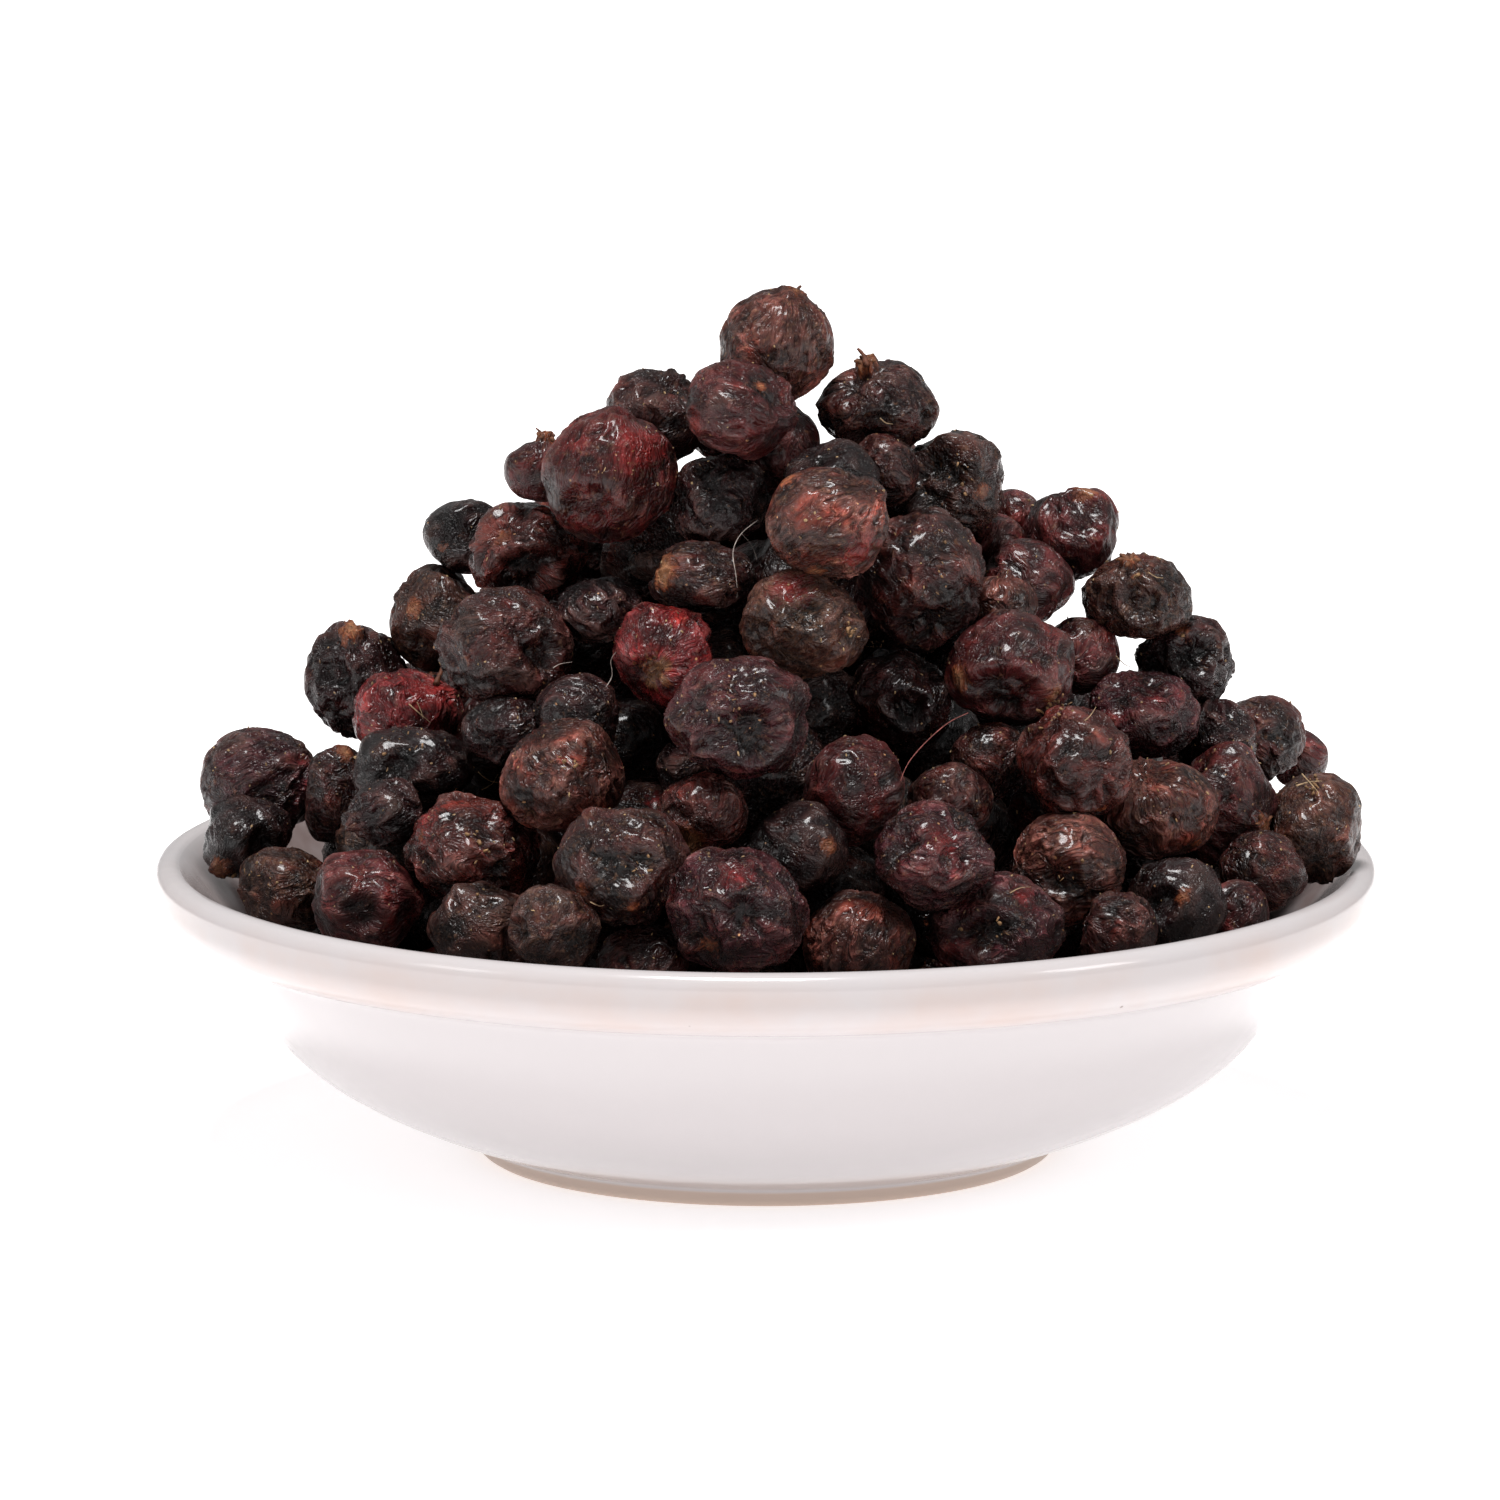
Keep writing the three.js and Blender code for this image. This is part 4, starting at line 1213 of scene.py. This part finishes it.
    # Crumbs of dried pulp and chaff on the upper sides of the outer cherries
    facing = add("parts", add("GeometryNodeInputNormal")).outputs[2]
    upper = add("compare GREATER_THAN", facing, crumbs["lowestSide"], data_type="FLOAT")
    outer = add("compare GREATER_THAN", given["level"], 0, data_type="INT")
    seed = {"Seed": enter["Seed"]}
    spots = add("GeometryNodeDistributePointsOnFaces", inputs={
        "Mesh": geometry, "Selection": add("FunctionNodeBooleanMath", upper, outer),
        "Density": enter["Crumbs per square metre"], **seed})
    size = add("random FLOAT_VECTOR", crumbs["smallest"], crumbs["largest"], inputs=seed)
    chips = add("GeometryNodeInstanceOnPoints", inputs={
        "Points": spots.outputs["Points"],
        "Instance": add("GeometryNodeMeshIcoSphere", 1, 1).outputs["Mesh"],
        "Rotation": add("random FLOAT_VECTOR", (0, 0, 0), crumbs["turn"], inputs=seed),
        "Scale": add("vector SCALE", size, enter["Crumb size"])})
    chips = add("GeometryNodeRealizeInstances", chips)
    chips = add("GeometryNodeSetMaterial", inputs={"Geometry": chips, "Material": crumbLook})
    both = feed(add("GeometryNodeJoinGeometry", chips), {0: cherries})
    feed(exit, {0: both})
    return tree


def crumbMaterial():
    # Crumbs of stalk, chaff and dried pulp: dry, matt and pale against the skin
    material, shader, add = newMaterial("driedChaff", {"Roughness": 0.8})
    tones = add("noise", add("ShaderNodeTexCoord").outputs["Object"], 1 / crumbs["patch"], 2)
    share = add("range", tones, *noiseSpan, 0, 1)
    feed(shader, {"Base Color": add("mix RGBA", share, crumbs["dark"], crumbs["pale"])})
    return material


# What clings to the cherries: its kind, thickness in millimetres, and the columns and rows that it passes
strays = [
    ("hair", 0.1, [(758, 520), (741, 534), (733, 552), (736, 576), (737, 597), (729, 606), (715, 608)]),
    ("hair", 0.08, [(742, 534), (752, 546), (757, 560)]),
    ("hair", 0.1, [(604, 690), (612, 676), (611, 660), (618, 650)]),
    ("thread", 0.1, [(968, 713), (948, 723), (926, 742), (909, 762), (901, 780), (900, 792)]),
    ("hair", 0.09, [(553, 668), (560, 664), (572, 662)]),
    ("straw", 0.16, [(409, 704), (419, 713), (431, 723)]),
    ("straw", 0.12, [(417, 702), (421, 711), (423, 719)]),
    ("straw", 0.14, [(478, 772), (488, 780), (500, 783)]),
    ("straw", 0.12, [(482, 790), (492, 784), (498, 774)]),
    ("straw", 0.14, [(592, 893), (601, 901), (612, 909)]),
    ("straw", 0.12, [(590, 902), (600, 906), (607, 903)]),
    ("straw", 0.2, [(1296, 786), (1309, 782), (1322, 781)]),
    ("straw", 0.18, [(1302, 774), (1312, 785), (1319, 793)]),
    ("straw", 0.14, [(1148, 572), (1156, 577), (1163, 578)]),
    ("straw", 0.13, [(1192, 628), (1199, 634), (1208, 635)]),
    ("straw", 0.13, [(1116, 656), (1124, 664), (1131, 667)]),
    ("straw", 0.12, [(1083, 722), (1090, 716), (1096, 707)]),
    ("straw", 0.12, [(880, 418), (886, 423), (893, 424)]),
    ("straw", 0.12, [(1010, 893), (1020, 888), (1031, 887)]),
    ("stalk", 0.7, [(436, 684), (440, 674), (444, 664)]),
    ("stalk", 0.7, [(867, 366), (864, 356), (858, 349)]),
    ("stalk", 0.5, [(795, 298), (797, 290), (801, 286)]),
    ("stalk", 0.6, [(352, 638), (350, 629), (345, 622)]),
    ("stalk", 0.4, [(545, 440), (541, 433), (536, 428)]),
]
strayKinds = {
    "hair": {"tone": "#b5a8a0", "lift": 0.5, "taper": 0.6, "sides": 5},
    "thread": {"tone": "#8c4f49", "lift": 0.4, "taper": 0.8, "sides": 5},
    "straw": {"tone": "#ab9070", "lift": 0.35, "taper": 0.4, "sides": 5},
    "stalk": {"tone": "#5a3322", "lift": 0.2, "taper": 0.4, "sides": 9},
    "sepal": {"tone": "#6b432b", "lift": 0, "taper": 0.25, "sides": 6},
    "crumb": {"tone": "#8b6a4a", "lift": 0.1, "taper": 0.7, "sides": 5},
}
# Sepals are left round a stalk's end that stands out this far or more. Lengths are millimetres.
sepals = {"fromNub": 0.7, "count": 5, "inner": 0.35, "outer": 1.25, "rise": 0.25, "root": 0.3,
          "thickness": 0.85, "uneven": 0.25, "bend": (0.6, 0.7), "outerVary": (0.7, 1.15),
          "riseVary": (0.3, 1.5), "steps": 3}

# Where crumbs have gathered: column, row, how far they are strewn in pixels, and how many
crusts = [
    (1052, 706, 13, 34), (852, 632, 9, 12), (876, 646, 10, 12), (640, 872, 26, 14), (1137, 577, 4, 5),
    (1184, 634, 4, 4), (1312, 784, 14, 14), (414, 742, 24, 8), (695, 583, 2, 3), (1262, 822, 7, 7),
    (702, 850, 8, 8),
    (1010, 925, 30, 10), (470, 850, 36, 12), (735, 700, 34, 8), (930, 560, 34, 10), (610, 460, 30, 7),
    (825, 505, 28, 8), (1070, 870, 24, 8), (1160, 800, 22, 7), (250, 880, 26, 9), (560, 760, 26, 8),
    (958, 470, 24, 8),
]

# How fibres lie and how crumbs are drawn, in millimetres
laying = {
    "seed": 11,
    "miss": 1e3,  # the depth of a line of sight that meets no cherry
    "steepest": 0.7,
    "steps": 5,
    "bark": 0.35,
    "barkPatch": 0.6 * mm,
    "streak": 0.5 * mm,
    "streakTone": (0.55, 1.3),
    "streakHeight": 0.15 * mm,
    "crumbHalf": (0.06, 0.28),
    "crumbThickness": (0.1, 0.35),
}


# A line through places on the photograph, laid on the cherries there. It starts on the nearest one, and it
# bridges gaps, because a fibre can't bend sharply away from the viewer.
def layOnCherries(cherries, places, lift):
    hits = [nearestCherry(cherries, column, row) for column, row in places]
    hits = [hit[0] if hit else laying["miss"] for hit in hits]
    start = hits.index(min(hits))
    depths = {start: hits[start]}
    for order in (range(start + 1, len(places)), range(start - 1, -1, -1)):
        for k in order:
            before = k - 1 if k > start else k + 1
            step = math.dist(places[k], places[before]) * photo["pixel"] * laying["steepest"]
            depths[k] = min(max(hits[k], depths[before] - step), depths[before] + step)
    line = [along(sightLine(*place), depths[k] - lift) for k, place in enumerate(places)]
    return smoothLine(line, laying["steps"])


# The point of a cherry's skin in a direction on it
def skinPoint(one, way):
    return Vector([c + w * one["radius"] * part for c, w, part in zip(one["at"], way, one["shape"])])


# The sepals left round a stalk's end, as short curled lines
def sepalLines(one, way, chance):
    up = Vector(way).normalized()
    side = up.orthogonal().normalized()
    foot = skinPoint(one, way)
    lines = []
    for k in range(sepals["count"]):
        angle = 2 * math.pi * (k + chance.uniform(-sepals["uneven"], sepals["uneven"])) / sepals["count"]
        out = side * math.cos(angle) + up.cross(side) * math.sin(angle)
        reach = sepals["outer"] * chance.uniform(*sepals["outerVary"])
        rise = sepals["rise"] * chance.uniform(*sepals["riseVary"])
        lines.append(smoothLine([
            tuple(foot + out * sepals["inner"] - up * sepals["root"]),
            tuple(foot + out * (reach * sepals["bend"][0]) + up * rise * sepals["bend"][1]),
            tuple(foot + out * reach + up * rise),
        ], sepals["steps"]))
    return lines


def strayMaterial():
    # Dry plant fibre, hair and bark: matt, a little streaked along its length
    material, shader, add = newMaterial("dryPlantFibre", {"Roughness": 0.65, "Specular IOR Level": 0.3})
    streaks = add("noise", add("ShaderNodeTexCoord").outputs["Object"], 1 / laying["streak"], 3)
    level = add("range", streaks, *noiseSpan, *laying["streakTone"])
    feed(shader, {
        "Base Color": add("vector SCALE", add("attribute tone").outputs["Vector"], level),
        "Normal": add("bump", inputs={
            "Height": streaks, "Strength": 0.6, "Distance": laying["streakHeight"]}),
    })
    return material


# The tree that gives bare lines their thickness, with a rough bark
def strayTree(look):
    tree, entry, exit, add = newGeometryTree("thickenLines", [
        ("Sides", "NodeSocketInt", 6),
        ("Bark", "NodeSocketFloat", laying["bark"]),
    ])
    enter = entry.outputs
    thickness = add("given FLOAT", "thickness")
    ring = add("GeometryNodeCurvePrimitiveCircle", inputs={"Resolution": enter["Sides"], "Radius": 1})
    tubes = add("GeometryNodeCurveToMesh", inputs={
        "Curve": add("GeometryNodeMeshToCurve", enter["Geometry"]), "Profile Curve": ring,
        "Scale": thickness, "Fill Caps": True})
    rough = add("noise", add("GeometryNodeInputPosition"), 1 / laying["barkPatch"], 1)
    swell = add("math MULTIPLY", add("range", rough, *noiseReach, -1, 1), enter["Bark"])
    swell = add("math MULTIPLY", swell, thickness)
    offset = add("vector SCALE", add("GeometryNodeInputNormal"), swell)
    tubes = add("GeometryNodeSetPosition", inputs={"Geometry": tubes, "Offset": offset})
    tubes = add("GeometryNodeRealizeInstances", tubes)
    tubes = add("GeometryNodeSetShadeSmooth", tubes)
    feed(exit, {0: add("GeometryNodeSetMaterial", inputs={"Geometry": tubes, "Material": look})})
    return tree


def makeStrays(cherries):
    tree = strayTree(strayMaterial())
    lines = []
    for kind, thick, places in strays:
        lines.append((kind, thick, layOnCherries(cherries, places, strayKinds[kind]["lift"])))
    chance = random.Random(laying["seed"])
    for column, row, height in stalkEnds:
        found = nearestCherry(cherries, column, row)
        if found and height >= sepals["fromNub"]:
            for line in sepalLines(cherries[found[1]], found[2], chance):
                lines.append(("sepal", sepals["thickness"], line))
    least, more = laying["crumbThickness"]
    for column, row, strewn, count in crusts:
        for _ in range(count):
            across, down = chance.gauss(0, strewn / 2), chance.gauss(0, strewn / 2)
            found = nearestCherry(cherries, column + across, row + down)
            if found:
                way = Vector(found[2])
                foot = skinPoint(cherries[found[1]], way) + way * strayKinds["crumb"]["lift"]
                turn = Vector([chance.gauss(0, 1) for _ in range(3)]).normalized()
                turn *= chance.uniform(*laying["crumbHalf"])
                thick = least + more * chance.random() ** 2
                lines.append(("crumb", thick, [tuple(foot - turn), tuple(foot + turn)]))
    pieces = {"strayHairs": ("hair", "thread"), "strawAndCrumbs": ("straw", "crumb"),
              "stalksAndSepals": ("stalk", "sepal")}
    for name, kinds in pieces.items():
        points, edges, thickness, tones = [], [], [], []
        for kind, thick, line in lines:
            if kind not in kinds:
                continue
            start, own = len(points), strayKinds[kind]
            for k, point in enumerate(line):
                share = k / (len(line) - 1)
                points.append([part * mm for part in point])
                thickness.append(thick / 2 * mm * (1 - (1 - own["taper"]) * share))
                tones.append(colour(own["tone"])[:3])
                if k:
                    edges.append((start + k - 1, start + k))
        mesh = pointMesh(name + "Lines", points, edges, [
            ("thickness", "FLOAT", thickness), ("tone", "FLOAT_VECTOR", tones)])
        piece = bake(name, mesh, tree, {
            "Sides": strayKinds[kinds[-1]]["sides"],
            "Bark": laying["bark"] if name == "stalksAndSepals" else 0.0,
        }, ["tone"])
        settlePiece(piece)


def makeCherries(cherries, clumps):
    tree = cherryTree(skinMaterial(), crumbMaterial())
    for index, clump in enumerate(clumps, 1):
        name = f"driedCherries_{index:02d}"
        mesh = cherryPoints(name + "Points", [cherries[k] for k in clump])
        piece = bake(name, mesh, tree, {**skin["faces"], "Seed": index}, skinValues)
        settlePiece(piece, [f"cherries_{index:02d}"])


# A matt white table that is lit from below too, as for pictures of goods, under plain soft studio light
studio = {
    "floor": "#f3f1f1",
    "floorSize": 7,
    "flecks": 900,  # to a metre, so 1.1 mm apart
    "fleckTone": (0.985, 1),
    "glow": 0.56,  # the light that comes up through the table
    "glowTint": (1, 0.985, 0.985, 1),
    "world": 0.32,
    "worldTint": (1, 0.99, 0.99, 1),
    "lamps": [
        # name, place, width, height, watts
        ("overheadSoftbox", (-0.14, -0.4, 2.1), 0.55, 0.55, 54),
        ("leftSoftbox", (-1.8, -0.8, 1.3), 0.6, 0.6, 3.6),
        ("rightSoftbox", (1.8, -0.7, 1.3), 0.6, 0.6, 7),
    ],
    "aim": (0, 0, 0.04),
    "lens": 361.8,
    "sensor": 36,
}


def makeStudio():
    size = studio["floorSize"] / 2
    mesh = bpy.data.meshes.new("paleFloor")
    corners = [(-size, -size, 0), (size, -size, 0), (size, size, 0), (-size, size, 0)]
    mesh.from_pydata(corners, [], [(0, 1, 2, 3)])
    material, shader, add = newMaterial("mattOpalAcrylic", {
        "Roughness": 0.9,
        "Specular IOR Level": 0.2,
        "Emission Color": studio["glowTint"],
        "Emission Strength": studio["glow"],
    })
    fibre = add("noise", add("ShaderNodeTexCoord").outputs["Object"], studio["flecks"], 3)
    level = add("range", fibre, *noiseReach, *studio["fleckTone"])
    feed(shader, {"Base Color": add("vector SCALE", colour(studio["floor"])[:3], level)})
    mesh.materials.append(material)
    addPiece("paleFloor", mesh)

    aim = Vector(studio["aim"])
    for name, place, width, height, watts in studio["lamps"]:
        lamp = bpy.data.lights.new(name, "AREA")
        lamp.shape = "RECTANGLE"
        lamp.size = width
        lamp.size_y = height
        lamp.energy = watts
        holder = addPiece(name, lamp)
        holder.location = place
        holder.rotation_euler = (aim - Vector(place)).to_track_quat("-Z", "Y").to_euler()

    world = bpy.data.worlds.new("whiteStudio")
    world.use_nodes = True
    feed(world.node_tree.nodes["Background"], {"Color": studio["worldTint"], "Strength": studio["world"]})
    scene.world = world
    scene.view_settings.view_transform = "Standard"


def makeCamera():
    lens = bpy.data.cameras.new("viewer")
    lens.lens = studio["lens"]
    lens.sensor_width = studio["sensor"]
    camera = addPiece("viewer", lens)
    sine, distance = viewer["sine"], viewer["distance"]
    x, y, z = viewer["target"]
    camera.location = [x * mm, (y - distance * math.sqrt(1 - sine ** 2)) * mm, (z + distance * sine) * mm]
    camera.rotation_euler = (math.pi / 2 - math.asin(sine), 0, 0)
    scene.camera = camera


makeCamera()
makeStudio()
turnBowl()
print("bowl turned")
cherries, clumps = layCherries()
print(f"{len(cherries)} cherries laid in {len(clumps)} clumps")
dressCherries(cherries)
makeCherries(cherries, clumps)
print("cherries dried")
makeStrays(cherries)
print("hairs, straws and stalks laid")
